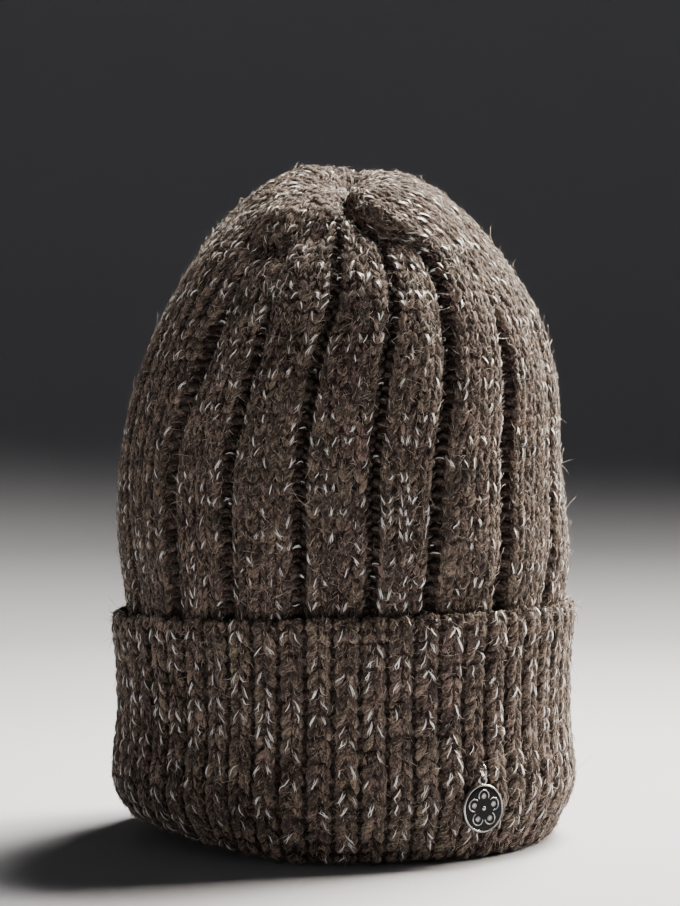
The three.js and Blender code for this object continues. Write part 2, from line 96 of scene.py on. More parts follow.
# The right lobe folds over the ribs at the front. By radius of the round: how
# far its lip leans to the left, how far the lobe rises and the tuck sinks
LOBE_AZIMUTH = 30.1
LOBE_ROWS = np.array([
    (0.0, 0.0, 0.0, 0.0),
    (7.0, 3.7, 0.6, 5.4),
    (15.0, 8.3, 1.8, 10.4),
    (24.0, 12.8, 3.4, 12.4),
    (31.0, 14.0, 4.0, 11.8),
    (35.0, 13.2, 4.0, 11.4),
    (39.0, 11.3, 3.8, 9.6),
    (44.0, 6.8, 3.2, 4.5),
    (48.0, 2.9, 2.6, 1.2),
    (53.0, 0.5, 1.8, 0.3),
    (60.0, 0.0, 0.6, 0.0),
    (66.0, 0.0, 0.0, 0.0),
])

# Outlines across the fold: millimetres to the right of the lip, share
LOBE_LEAN_STEPS = ((-2.9, -0.3, 4.6, 27.0), (0.0, 1.0, 1.0, 0.0))
LOBE_RISE_STEPS = ((-1.2, 6.5, 15.0, 31.0), (0.0, 1.0, 1.0, 0.0))
TUCK_SINK_STEPS = ((-22.0, -9.5, -3.5, 5.5), (0.0, 1.0, 1.0, 0.0))
LEAST_LIP_RADIUS = 25.0

# Radius within which the lobes and dents fade out
GATHER_RADIUS = 6.0

# Where the ribs flatten out towards the top: by azimuth, the round from which
# and the round at which, and what is left of their relief
RIB_FADES = np.array([
    (-180, 7.0, 9.5, 0.55),
    (-110, 7.0, 9.0, 0.50),
    (-75, 5.9, 7.4, 0.25),
    (-22, 5.9, 7.4, 0.25),
    (-10, 8.2, 9.6, 0.60),
    (27, 8.2, 9.6, 0.60),
    (38, 5.9, 7.2, 0.25),
    (75, 5.9, 7.4, 0.25),
    (110, 7.0, 9.0, 0.50),
    (180, 7.0, 9.5, 0.55),
])

# Cuff: its columns, the azimuth of a gap between two of them, and its edge, which
# sways up towards one side from a height on
CUFF_COLUMNS = 56
CUFF_GAP_AZIMUTH = 3.8
CUFF_EDGE_HEIGHT = 82.3
CUFF_EDGE_SWAY = 2.0
CUFF_EDGE_SWAY_AZIMUTH = 80.0
CUFF_EDGE_SWAY_START = 40.0

# How far the fold stands off the ground, by azimuth, and how far up that reaches
FOLD_LIFT_REACH = 22.0
FOLD_LIFTS = np.array([
    (-180, 0.0), (-150, 0.0), (-110, 5.0), (-90, 7.0), (-75, 7.5),
    (-60, 7.0), (-45, 5.3), (-30, 3.0), (-13, 0.0), (180, 0.0),
])

# Section of the cuff from inside its edge, over the edge, down the outer
# layer, round the fold and up the inner layer: radius, height, rib share
CUFF_PATH = np.array([
    (79.3, 76.0, 0.0),
    (79.8, 80.4, 0.2),
    (81.2, CUFF_EDGE_HEIGHT, 0.5),
    (83.1, 79.6, 0.8),
    (83.3, 75.5, 1.0),
    (82.2, 66.0, 1.0),
    (81.6, 52.0, 1.0),
    (81.9, 38.0, 1.0),
    (83.4, 25.0, 1.0),
    (82.9, 19.0, 1.0),
    (80.8, 12.5, 1.0),
    (77.4, 5.2, 0.8),
    (74.6, 0.8, 0.4),
    (71.0, 0.6, 0.3),
    (69.0, 5.0, 0.6),
    (68.8, 12.0, 0.8),
    (70.4, 24.0, 0.8),
    (71.8, 40.0, 0.8),
    (72.7, 69.0, 0.8),
])
CUFF_OUTER_PLACES = 13
CUFF_RELIEF = 2.2

# Steps of the skins' grids
ROUND_STEPS = 24
RIB_STEPS = 28
SECTION_STEPS = 10
COLUMN_STEPS = 12

# Heights of the stitches' rows, outline of a rib, and size of the grooves
CROWN_ROW = 3.9
CUFF_ROW = 4.4
RIB_SHOULDER_POWER = 4.5
RIB_ROUNDING = 0.62
GROOVE_SHARE = 0.105
GROOVE_GAIN = 1.4

# How far the stitches' skins lie under the outline, how far the matted base rises
# over them, and the crown's wall
CROWN_SINK = 1.3
CUFF_SINK = 1.6
BASE_RISE = 0.6
CUFF_BASE_RISE = 0.85
CROWN_WALL = 6.8


def smooth_rows(values, places):
    """Catmull-Rom curve through the rows of a table, at places counted in rows."""
    last = len(values) - 1
    below = np.clip(places.astype(int), 0, last - 1)
    share = (places - below)[:, None]
    before, start, stop, after = (values[np.clip(below + step, 0, last)] for step in (-1, 0, 1, 2))
    bend = 2 * before - 5 * start + 4 * stop - after
    twist = 3 * start - before - 3 * stop + after
    return 0.5 * (2 * start + (stop - before) * share + bend * share ** 2 + twist * share ** 3)


def smooth_step(share):
    """Share eased in and out between 0 and 1."""
    share = np.clip(share, 0, 1)
    return share * share * (3 - 2 * share)


def half_turn(azimuth):
    """Azimuth as a value between -180 and 180."""
    return (azimuth + 180) % 360 - 180


def swell(offset, span_below, span_above):
    """Bump of height 1 that falls smoothly to 0 at its spans."""
    span = np.where(offset < 0, span_below, span_above)
    share = np.minimum(1.0, np.abs(offset) / span)
    return (1 - share ** 2) ** 2


def dent_rise(dent, azimuth, radius):
    """Rise of a lobe or dent at an azimuth and a radius."""
    centre, left, right, round_radius, reach, rise = dent
    across = swell(half_turn(azimuth - centre), left, right)
    return rise * (across * swell(radius - round_radius, reach, reach))


def eased(offset, steps):
    """Value of a stepped outline, eased in and out between its steps."""
    places, values = (np.array(row) for row in steps)
    below = np.clip(np.searchsorted(places, offset) - 1, 0, len(places) - 2)
    share = smooth_step((offset - places[below]) / (places[below + 1] - places[below]))
    return values[below] * (1 - share) + values[below + 1] * share


def rib_fade(azimuth, place):
    """What is left of the rib relief at an azimuth and a round."""
    azimuths, *columns = RIB_FADES.T
    start, stop, left = (np.interp(half_turn(azimuth), azimuths, column) for column in columns)
    return 1 - (1 - left) * smooth_step((place - start) / (stop - start))


def ripple(azimuth, height):
    """Slight unevenness of the knit, whole waves round the hat."""
    turn = np.radians(azimuth)
    return (
        0.35 * np.sin(3 * turn + height / 31 + 0.8)
        + 0.30 * np.sin(5 * turn - height / 23 + 2.1)
        + 0.22 * np.sin(11 * turn + height / 13 + 4.0)
    )


def groove_azimuths(height):
    """Azimuth of each groove at each height, and the first one a turn on."""
    front = np.stack([np.interp(height, GROOVE_HEIGHTS, row) for row in FRONT_GROOVES], axis=-1)
    spread = CROWN_RIBS - len(FRONT_GROOVES) + 1
    shares = np.arange(1, spread) / spread
    first = front[:, :1] + 360
    last = front[:, -1:]
    return np.concatenate([front, last + (first - last) * shares, first], axis=1)


def rib_arch(share):
    """Outline across a rib: 1 on top, 0 at both sides."""
    return (1 - np.abs(2 * share - 1) ** RIB_SHOULDER_POWER) ** RIB_ROUNDING


def unit(vectors):
    """Vectors at length 1."""
    return vectors / np.maximum(np.linalg.norm(vectors, axis=-1, keepdims=True), 1e-9)


def grid_normals(points):
    """Normals of a grid of points whose last column repeats its first."""
    padded = np.concatenate([points[:, -2:-1], points, points[:, 1:2]], axis=1)
    across = padded[:, 2:] - padded[:, :-2]
    along = np.gradient(points, axis=0)
    return unit(np.cross(across, along))


class Skin:
    """A knitted surface as a grid: rows along the knit, columns across it."""

    def __init__(self, points, normals, rows, columns):
        self.points = points
        self.normals = normals
        self.row_step = rows / (points.shape[0] - 1)
        self.column_step = columns / (points.shape[1] - 1)
        self.columns = columns

    def sample(self, row, column):
        """Point and normal at each place, in rows and columns of the knit."""
        i = np.clip(row / self.row_step, 0, self.points.shape[0] - 1.001)
        j = (column % self.columns) / self.column_step
        i0 = i.astype(int)
        j0 = np.minimum(j.astype(int), self.points.shape[1] - 2)
        di = (i - i0)[..., None]
        dj = (j - j0)[..., None]

        def blend(grid):
            low = grid[i0, j0] * (1 - dj) + grid[i0, j0 + 1] * dj
            high = grid[i0 + 1, j0] * (1 - dj) + grid[i0 + 1, j0 + 1] * dj
            return low * (1 - di) + high * di

        return blend(self.points), unit(blend(self.normals))

    def grid(self, rows, columns):
        """Points and normals at all the crossings of some rows and columns."""
        return self.sample(*np.meshgrid(rows, columns, indexing="ij"))


def dome(table, azimuth):
    """Points of the crown before its dents, for rows of the rounds' table."""
    height, radius, side, forward, tilt, _ = table.T[:, :, None]
    radius = np.maximum(radius, 0.0)
    front = radius * np.cos(azimuth)
    slope = np.radians(tilt)
    return np.stack([
        side + radius * np.sin(azimuth),
        -forward - front * np.cos(slope),
        height - front * np.sin(slope),
    ], axis=-1)


def dome_normals(table, azimuth):
    """Normals of the crown before its dents."""
    above = np.concatenate([table[1:], table[-1:]])
    below = np.concatenate([table[:1], table[:-1]])
    along = dome(above, azimuth) - dome(below, azimuth)
    across = dome(table, azimuth + 0.01) - dome(table, azimuth - 0.01)
    normals = unit(np.cross(across, along))
    normals[-1] = (0, 0, 1)
    return normals


def crown_skin(relief_share=1.0, dent_share=1.0, lean_share=1.0, sink=0.0):
    """The crown's surface, with shares of its relief, its dents and the fold's lean."""
    rounds = np.linspace(0, LAST_ROUND, LAST_ROUND * ROUND_STEPS + 1)
    ribs = np.linspace(0, CROWN_RIBS, CROWN_RIBS * RIB_STEPS + 1)
    table = smooth_rows(CROWN_ROUNDS, rounds)
    height, radius, relief = table[:, 0:1], np.maximum(table[:, 1:2], 0.0), table[:, 5:6]
    grooves = groove_azimuths(table[:, 0])
    rib = np.minimum(ribs.astype(int), CROWN_RIBS - 1)
    share = ribs - rib
    azimuth = grooves[:, rib] * (1 - share) + grooves[:, rib + 1] * share
    past_lip = np.radians(half_turn(azimuth - LOBE_AZIMUTH)) * np.maximum(radius, LEAST_LIP_RADIUS)
    radii, *columns = LOBE_ROWS.T
    lean, lobe, tuck = (np.interp(radius, radii, column) for column in columns)
    lean = lean * eased(past_lip, LOBE_LEAN_STEPS) / np.maximum(radius, 1.0)
    leaned = np.radians(azimuth) - lean * lean_share
    rise = sum(dent_rise(dent, azimuth, radius) for dent in CROWN_DENTS.values())
    rise = rise + lobe * eased(past_lip, LOBE_RISE_STEPS) - tuck * eased(past_lip, TUCK_SINK_STEPS)
    depth = GROOVE_GAIN * relief * rib_fade(azimuth, rounds[:, None])
    rise = rise * smooth_step(radius / GATHER_RADIUS)
    rise = dent_share * rise - relief_share * depth * (1 - rib_arch(share)) - sink
    rise = rise + ripple(azimuth, height)
    points = dome(table, leaned) + dome_normals(table, leaned) * rise[..., None]
    normals = grid_normals(points)
    normals[-1] = (0, 0, 1)
    return Skin(points, normals, LAST_ROUND, CROWN_RIBS)


def round_points(radius, azimuth, height):
    """Points at radii, azimuths and heights."""
    turn = np.radians(azimuth)
    x, y, z = np.broadcast_arrays(radius * np.sin(turn), -radius * np.cos(turn), height)
    return np.stack([x, y, z], axis=-1)


def cuff_skin(sink):
    """The surface of the cuff, from inside its edge to the end of its inner layer."""
    last = len(CUFF_PATH) - 1
    places = np.linspace(0, last, last * SECTION_STEPS + 1)
    columns = np.linspace(0, CUFF_COLUMNS, CUFF_COLUMNS * COLUMN_STEPS + 1)
    radius, height, ribbed = smooth_rows(CUFF_PATH, places).T[:, :, None]
    azimuth = CUFF_GAP_AZIMUTH + 360 * columns / CUFF_COLUMNS
    lift = np.interp(half_turn(azimuth), *FOLD_LIFTS.T)
    lifted = height + lift * np.maximum(0, 1 - height / FOLD_LIFT_REACH) ** 2
    sway = CUFF_EDGE_SWAY * np.cos(np.radians(azimuth - CUFF_EDGE_SWAY_AZIMUTH))
    sway_share = (height - CUFF_EDGE_SWAY_START) / (CUFF_EDGE_HEIGHT - CUFF_EDGE_SWAY_START)
    outer = (places < CUFF_OUTER_PLACES)[:, None]
    lifted = lifted + sway * np.maximum(0, sway_share) * outer
    plain = round_points(radius, azimuth, lifted)
    plain_normals = -grid_normals(plain)
    drop = CUFF_RELIEF * ribbed * (1 - rib_arch(columns % 1.0)) + sink
    points = plain - plain_normals * drop[..., None]
    return Skin(points, -grid_normals(points), last, CUFF_COLUMNS)


def add_object(name, data):
    """A new object, linked into the scene."""
    thing = bpy.data.objects.new(name, data)
    bpy.context.collection.objects.link(thing)
    return thing


def smooth_object(name, material, vertices, faces):
    """An object with smooth faces, from millimetre vertices and triangles."""
    mesh = bpy.data.meshes.new(name)
    mesh.from_pydata((vertices * MM).tolist(), [], faces.tolist(), shade_flat=False)
    mesh.materials.append(material)
    return add_object(name, mesh)


def add_piece(name, slot, node, material, vertices, faces, tones=None, uvs=None, crease=None):
    """A closed piece in the place of a node, with the tones and UVs of its strands."""
    piece = smooth_object(name, material, vertices, faces)
    if crease is not None:
        piece.data.set_sharp_from_angle(angle=math.radians(crease))
    if tones is not None:
        layer = piece.data.attributes.new("tone", "FLOAT", "POINT")
        layer.data.foreach_set("value", tones.astype(np.float32))
    if uvs is not None:
        layer = piece.data.uv_layers.new(name="strand")
        layer.data.foreach_set("uv", uvs[faces.ravel()].astype(np.float32).ravel())
    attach(piece, "root")
    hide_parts(node)


def stacked(groups):
    """Joins the like arrays of several groups."""
    return tuple(np.concatenate(arrays) for arrays in zip(*groups))


def joined(solids):
    """Joins solids, each with its vertices and faces first, into one."""
    starts = np.cumsum([0] + [len(solid[0]) for solid in solids[:-1]])
    return stacked([(solid[0], solid[1] + start, *solid[2:]) for solid, start in zip(solids, starts)])


# Slots of the knitted nodes, and the least height of their vertices over the ground
KNIT_SLOTS = {"crown": "crown_knit", "cuff": "cuff_knit"}
LEAST_HEIGHT = 0.05


def add_knit(name, node, material, solids):
    """Adds solids of yarn as one piece in the place of a knitted node."""
    vertices, *others = joined(solids)
    vertices[:, 2] = np.maximum(vertices[:, 2], LEAST_HEIGHT)
    add_piece(name, KNIT_SLOTS[node], node, material, vertices, *others)


def band(low, high, sides, forward=True):
    """Triangles between two rings of vertices, with the diagonals forward or back."""
    k = np.arange(sides)
    following = (k + 1) % sides
    first_end = following if forward else k
    second_start = k if forward else following
    return [
        np.stack([low + k, low + following, high + first_end], axis=1),
        np.stack([low + second_start, high + following, high + k], axis=1),
    ]


def capped_bands(rings, sides, forward=True):
    """Triangles of a row of rings with a single vertex before them and one after."""
    k = np.arange(sides)
    following = (k + 1) % sides
    top = 1 + (rings - 1) * sides
    faces = [np.stack([np.zeros(sides, int), 1 + following, 1 + k], axis=1)]
    for ring in range(rings - 1):
        faces += band(1 + ring * sides, 1 + (ring + 1) * sides, sides, forward)
    faces.append(np.stack([top + k, top + following, np.full(sides, top + sides)], axis=1))
    return np.concatenate(faces)


def ring_shell(rings):
    """Closed solid whose rings are each joined to the next, the last to the first."""
    total, sides, _ = rings.shape
    faces = []
    for ring in range(total):
        faces += band(ring * sides, (ring + 1) % total * sides, sides)
    return rings.reshape(-1, 3), np.concatenate(faces)


def lengths_along(points):
    """Lengths from the start of lines of points, which run along the last axis but one."""
    steps = np.linalg.norm(np.diff(points, axis=-2), axis=-1)
    return np.concatenate([np.zeros_like(steps[..., :1]), np.cumsum(steps, axis=-1)], axis=-1)


# Millimetres of a strand in one unit of its UVs
UV_LENGTH = 10.0


def spindles(path, normals, half_widths, half_depths, sides, tone, twist=0.0, rough=0.0):
    """Closed strands along paths of shape (strand, place, 3), pointed at both ends."""
    strands, places, _ = path.shape
    rings = places - 2
    tangents = unit(np.gradient(path, axis=1))
    across = unit(np.cross(tangents, normals))
    outward = np.cross(across, tangents)
    turn = np.arange(sides) * 2 * np.pi / sides - np.pi / 2
    ring = (
        path[:, 1:-1, None, :]
        + across[:, 1:-1, None, :] * (half_widths[:, 1:-1, None] * np.cos(turn))[..., None]
        + outward[:, 1:-1, None, :] * (half_depths[:, 1:-1, None] * np.sin(turn))[..., None]
    )
    if rough:
        ring = ring + random.normal(0, rough, ring.shape)
    body = ring.reshape(strands, rings * sides, 3)
    vertices = np.concatenate([path[:, :1], body, path[:, -1:]], axis=1)
    stride = vertices.shape[1]
    starts = np.arange(strands)[:, None, None] * stride
    faces = (capped_bands(rings, sides)[None, :, ::-1] + starts).reshape(-1, 3)
    round_share = np.concatenate([[0.5], np.tile(np.arange(sides) / sides, rings), [0.5]])
    place = np.concatenate([[0], np.repeat(np.arange(1, places - 1), sides), [places - 1]])
    along = lengths_along(path)[:, place] / UV_LENGTH
    uvs = np.stack([round_share[None] + twist * along, along], axis=-1)
    return vertices.reshape(-1, 3), faces, np.repeat(tone, stride), uvs.reshape(-1, 2)


class Column:
    """One column of stitches: a path over a skin, measured along its length."""

    def __init__(self, skin, rows, columns, unit_width):
        self.skin = skin
        self.rows = rows
        self.columns = columns
        self.unit_width = unit_width
        self.length = lengths_along(skin.sample(rows, columns)[0])

    def at(self, along, across):
        """Points and normals at millimetres along and across the column."""
        row = np.interp(along, self.length, self.rows)
        column = np.interp(along, self.length, self.columns)
        width = np.interp(along, self.length, self.unit_width)
        return self.skin.sample(row, column + across / width)


# A leg of a stitch, from its foot between the legs below to its shoulder:
# share of the column's half width, rows along, height, share of the thickness
CROWN_LEG = np.array([
    (0.06, -0.72, -0.12, 0.0),
    (0.21, -0.36, 0.32, 0.88),
    (0.43, 0.08, 0.48, 1.02),
    (0.66, 0.52, 0.28, 0.90),
    (0.82, 0.92, -0.12, 0.0),
])
CUFF_LEG = np.array([
    (0.04, -0.80, -0.10, 0.0),
    (0.16, -0.46, 0.26, 0.76),
    (0.35, -0.08, 0.44, 0.96),
    (0.55, 0.28, 0.44, 1.0),
    (0.73, 0.64, 0.24, 0.86),
    (0.86, 1.04, -0.12, 0.0),
])

# Half width of a leg in widths of its column, its depth in widths of the leg, and
# the column's width at which a stitch has its full height
LEG_WIDTH = 0.255
LEG_FLATNESS = 0.52
FULL_STITCH = 5.5
YARN_TWIST = 0.9
YARN_ROUGHNESS = 0.07

# The shiny thread comes to the surface in some rows and stays hidden in others.
# Some stitches don't follow their row
SHINY_ROWS = 0.34
SHINY_CHANCE = 0.72
DULL_CHANCE = 0.13
JOINING_CHANCE = 0.6


def spread(size, count):
    """Random shares about 0, one for each of count stitches, as a column."""
    return random.normal(0, size, count)[:, None]


def thread_chances(count):
    """Chance of a shiny thread on the strands of each row."""
    return np.where(random.random(count) < SHINY_ROWS, SHINY_CHANCE, DULL_CHANCE)


def yarn_solid(strands, sides=4):
    """Solid of some strands of yarn, each with a random tone."""
    tone = random.random(len(strands[0]))
    return spindles(*strands, sides, tone, YARN_TWIST, YARN_ROUGHNESS)


def stitch_legs(column, rows, pitch, width, shape):
    """Both legs of each stitch of a column: paths, normals, half widths and depths."""
    starts = np.repeat(rows + random.normal(0, 0.05 * pitch, len(rows)), 2)[:, None]
    fullness = 1 + np.repeat(random.normal(0, 0.05, len(rows)), 2)[:, None]
    widths = np.repeat(width, 2)[:, None]
    side = np.tile([-1.0, 1.0], len(rows))[:, None]
    count = len(starts)
    reach, advance, height, thickness = shape.T[:, None]
    reach = reach * (1 + spread(0.07, count)) + spread(0.03, count)
    advance = advance * (1 + spread(0.06, count)) + spread(0.06, count)
    points, normals = column.at(starts + pitch * advance, side * reach * widths / 2)
    rise = height * np.minimum(1, widths / FULL_STITCH) + spread(0.15, count)
    fullness = fullness * (1 + spread(0.09, count))
    half_width = LEG_WIDTH * widths * thickness * fullness
    half_depth = half_width * LEG_FLATNESS * (1 + spread(0.08, count))
    return points + normals * rise[..., None], normals, half_width, half_depth


# Places of a rib's stitch columns as its knit narrows: shares across the rib at
# these widths of the knit, and the least width at which the column is there
KNIT_WIDTHS = (0.0, 6.5, 8.5, 11.5, 13.5, 16.5, 18.5)
RIB_SPOTS = (
    ((0.5, 0.5, 0.25, 0.25, 0.167, 0.167, 0.125), 0.0),
    ((0.5, 0.5, 0.75, 0.75, 0.5, 0.5, 0.375), 6.8),
    ((0.5, 0.5, 0.5, 0.5, 0.5, 0.5, 0.625), 16.8),
    ((0.75, 0.75, 0.75, 0.75, 0.833, 0.833, 0.875), 11.8),
)
WIDEST_STITCH = 6.0

# Towards the gather every second rib ends, then every second of the rest
FIRST_END_RADIUS = 10.0
SECOND_END_RADIUS = 5.0

# Paths of the crown's columns, in rounds from their start to before the last
FIRST_ROUND = 0.35
KNIT_END = 0.2
PURL_END = 0.6
PATH_PLACES = 420
RIB_PLACES = 41
MOST_ROWS = 90
STITCH_GROUPS = 3


def groove_shares(rounds):
    """Share of a rib that each groove takes on one side, by round and groove."""
    height = smooth_rows(CROWN_ROUNDS, rounds)[:, 0]
    fade = rib_fade(groove_azimuths(height), rounds[:, None])
    return GROOVE_SHARE * np.clip((fade - 0.3) / 0.5, 0, 1)


def rib_widening(rib, radius):
    """How many ribs' room the columns of a rib fill at a radius, 0 past their end."""
    room = np.where(radius < FIRST_END_RADIUS, 2, 1) * np.where(radius < SECOND_END_RADIUS, 2, 1)
    return np.where(rib % room == 0, room, 0)


def by_row(places, keys, values):
    """Linear look-up with a key line and a value line for every row."""
    keys = np.broadcast_to(keys, (len(places), keys.shape[-1]))
    values = np.broadcast_to(values, (len(places), values.shape[-1]))
    return np.array([np.interp(*row) for row in zip(places, keys, values)])


def smoothed(line, reach=7):
    """Running mean of a line over some places on both sides."""
    padded = np.pad(line, reach, mode="edge")
    return np.convolve(padded, np.full(2 * reach + 1, 1 / (2 * reach + 1)), mode="valid")


def crown_columns(skin):
    """Stitch columns of the crown: rib, column, rows and widths of its stitches."""
    rounds = np.linspace(FIRST_ROUND, LAST_ROUND - KNIT_END, PATH_PLACES)
    radius = smooth_rows(CROWN_ROUNDS, rounds)[:, 1]
    shares = groove_shares(rounds)
    across = np.linspace(0, 0.9999, RIB_PLACES)
    for rib in range(CROWN_RIBS):
        points, _ = skin.grid(rounds, rib + across)
        arc = lengths_along(points)
        slope = np.gradient(arc, across, axis=1)
        start = by_row(shares[:, rib], across, arc)
        stop = by_row(1 - shares[:, rib + 1], across, arc)
        widening = rib_widening(rib, radius)
        knit = (stop - start) * np.maximum(widening, 1.0)
        number = 1 + sum((knit > least).astype(int) for _, least in RIB_SPOTS[1:])
        for places, least in RIB_SPOTS:
            place = np.interp(knit, KNIT_WIDTHS, places)
            spot = smoothed(by_row(start + (stop - start) * place, arc, across))
            unit_width = smoothed(by_row(spot, across, slope))
            column = Column(skin, rounds, rib + spot, unit_width)
            alive = (knit > least) & (widening > 0)
            rows = np.arange(0, column.length[alive][-1], CROWN_ROW)
            width = np.interp(rows, column.length, np.minimum(knit / number, WIDEST_STITCH))
            yield rib, column, rows, width


def make_crown_stitches(skin, material):
    """Knit stitches of the wide ribs, in groups of ribs; returns strands and chances."""
    groups = [[] for _ in range(STITCH_GROUPS)]
    legs = []
    chances = thread_chances((CROWN_RIBS, MOST_ROWS))
    for rib, column, rows, width in crown_columns(skin):
        strands = stitch_legs(column, rows, CROWN_ROW, width, CROWN_LEG)
        groups[rib * STITCH_GROUPS // CROWN_RIBS].append(yarn_solid(strands))
        joins = random.random(len(rows)) < JOINING_CHANCE
        chance = np.where(joins, chances[rib, :len(rows)], DULL_CHANCE)
        legs.append((*strands, np.repeat(chance, 2)))
    for number, solids in enumerate(groups, start=1):
        add_knit(f"crown_stitches_{number}", "crown", material, solids)
    return stacked(legs)


# A purl bump: share of its half width across, rows along, height, thickness
PURL_BUMP = np.array([
    (-1.0, -0.22, -0.9, 0.0),
    (-0.6, 0.02, 0.0, 0.9),
    (0.0, 0.16, 0.35, 1.0),
    (0.6, 0.02, 0.0, 0.9),
    (1.0, -0.22, -0.9, 0.0),
])
CROWN_PURL_SIZE = 1.0
CUFF_PURL_SIZE = 0.8
STRAND_FLATNESS = 0.8

# Half widths between which a groove has purls, and at which its threads end
PURL_HALF_WIDTHS = (0.6, 2.6)
PURL_SHARE = 0.8
WIDE_GROOVE = 2.3
GROOVE_THREADS = 0.95


def purl_bumps(column, rows, pitch, half_span, size):
    """Purl bumps across a column: paths, normals, half widths and depths."""
    count = len(rows)
    reach, advance, height, thickness = PURL_BUMP.T[:, None]
    across = reach * half_span[:, None] * (1 + spread(0.08, count))
    along = rows[:, None] + pitch * (advance + spread(0.08, count))
    points, normals = column.at(along, across)
    rise = height + spread(0.15, count)
    half_width = size * thickness * (1 + spread(0.1, count))
    return points + normals * rise[..., None], normals, half_width, half_width * STRAND_FLATNESS


def make_crown_purls(skin, material):
    """Two columns of purl bumps down each groove; returns strands and chances."""
    rounds = np.linspace(FIRST_ROUND, LAST_ROUND - PURL_END, PATH_PLACES)
    shares = groove_shares(rounds)
    narrowest, widest = PURL_HALF_WIDTHS
    solids, bumps = [], []
    for groove in range(CROWN_RIBS):
        centre = np.full_like(rounds, groove)
        left, _ = skin.sample(rounds, centre - 0.1)
        right, _ = skin.sample(rounds, centre + 0.1)
        pitch = smoothed(np.linalg.norm(right - left, axis=1)) * 5
        for side in (-1, 1):
            column = Column(skin, rounds, centre + side * shares[:, groove] * 0.5, pitch)
            rows = np.arange(0, column.length[-1], CROWN_ROW) + (side + 1) * CROWN_ROW / 4
            half_span = np.interp(rows, column.length, pitch * shares[:, groove]) * PURL_SHARE
            keep = (half_span > narrowest) & (half_span < widest)
            strands = purl_bumps(column, rows[keep], CROWN_ROW, half_span[keep], CROWN_PURL_SIZE)
            solids.append(yarn_solid(strands))
            narrow = np.clip((WIDE_GROOVE - half_span[keep]) / 0.8, 0, 1)
            bumps.append((*strands, thread_chances(len(narrow)) * narrow * GROOVE_THREADS))
    add_knit("crown_purls", "crown", material, solids)
    return stacked(bumps)


# The matted wall behind the crown's stitches closes just before the last round
BASE_END = 0.12
BASE_OUTER_ROWS = 72
BASE_INNER_ROWS = 28
BASE_COLUMNS = 8


def make_crown_base(skin, material):
    """The closed wall behind the crown's stitches, with its inner face."""
    inner = crown_skin(relief_share=0.5, dent_share=0.9, lean_share=0.0, sink=CROWN_WALL)
    columns = np.arange(CROWN_RIBS * BASE_COLUMNS) / BASE_COLUMNS
    end = LAST_ROUND - BASE_END
    outer, normals = skin.grid(np.linspace(0.0, end, BASE_OUTER_ROWS), columns)
    outer = outer + normals * BASE_RISE
    inside, _ = inner.grid(np.linspace(end, 0.0, BASE_INNER_ROWS), columns)
    inside[-1, :, 2] = outer[0, :, 2]
    add_knit("crown_base", "crown", material, [ring_shell(np.concatenate([outer, inside]))])


# The slot between the cuff's two layers: radius, height
CUFF_SLOT = np.array([
    (76.9, 69.0), (76.8, 45.0), (76.7, 21.0), (77.6, 21.0), (78.0, 45.0), (78.2, 72.0),
])
CUFF_BASE_ROWS = 54
CUFF_BASE_COLUMNS = 4

# Paths of the cuff's columns over the places of its section, the millimetres at
# which their rows start and stop, least heights, and shares of a column's width
CUFF_PATH_END = 16.2
CUFF_PATH_PLACES = 400
CUFF_KNIT_START = 7.0
CUFF_PURL_START = 6.0
CUFF_ROWS_STOP = 3
CUFF_KNIT_LEAST = 1.2
CUFF_PURL_LEAST = 1.0
CUFF_KNIT_SHARE = 0.78
CUFF_PURL_SHARE = 0.16


def make_cuff_base(material):
    """The closed double band behind the cuff's stitches, with the slot in it."""
    skin = cuff_skin(sink=CUFF_SINK - CUFF_BASE_RISE)
    columns = np.arange(CUFF_COLUMNS * CUFF_BASE_COLUMNS) / CUFF_BASE_COLUMNS
    face, _ = skin.grid(np.linspace(0, len(CUFF_PATH) - 1, CUFF_BASE_ROWS), columns)
    radius, height = CUFF_SLOT.T[:, :, None]
    slot = round_points(radius, CUFF_GAP_AZIMUTH + 360 * columns / CUFF_COLUMNS, height)
    rings = np.concatenate([face, slot])
    add_knit("cuff_base", "cuff", material, [ring_shell(rings[::-1])])


def cuff_columns(skin):
    """Paths of the cuff's knit columns and of the gaps to their left."""
    places = np.linspace(0.0, CUFF_PATH_END, CUFF_PATH_PLACES)
    for number in range(CUFF_COLUMNS):
        centre = np.full_like(places, number + 0.5)
        points, _ = skin.sample(places, centre)
        pitch = np.linalg.norm(points[:, :2], axis=1) * 2 * np.pi / CUFF_COLUMNS
        yield Column(skin, places, centre, pitch), Column(skin, places, centre - 0.5, pitch)


def cuff_rows(column, start, share):
    """Rows of a cuff column and a share of its width at each of them."""
    rows = np.arange(start, column.length[-1] - CUFF_ROWS_STOP, CUFF_ROW)
    return rows, np.interp(rows, column.length, column.unit_width) * share


def above_ground(strands, least):
    """Strands whose paths keep to a least height."""
    path, *others = strands
    path[..., 2] = np.maximum(path[..., 2], least)
    return (path, *others)


def make_cuff_stitches(skin, material):
    """A column of knit stitches on each of the cuff's ribs; returns strands and chances."""
    solids, legs = [], []
    for column, _ in cuff_columns(skin):
        rows, width = cuff_rows(column, CUFF_KNIT_START, CUFF_KNIT_SHARE)
        strands = stitch_legs(column, rows, CUFF_ROW, width, CUFF_LEG)
        strands = above_ground(strands, CUFF_KNIT_LEAST)
        solids.append(yarn_solid(strands))
        legs.append((*strands, np.repeat(thread_chances(len(rows)), 2)))
    add_knit("cuff_stitches", "cuff", material, solids)
    return stacked(legs)


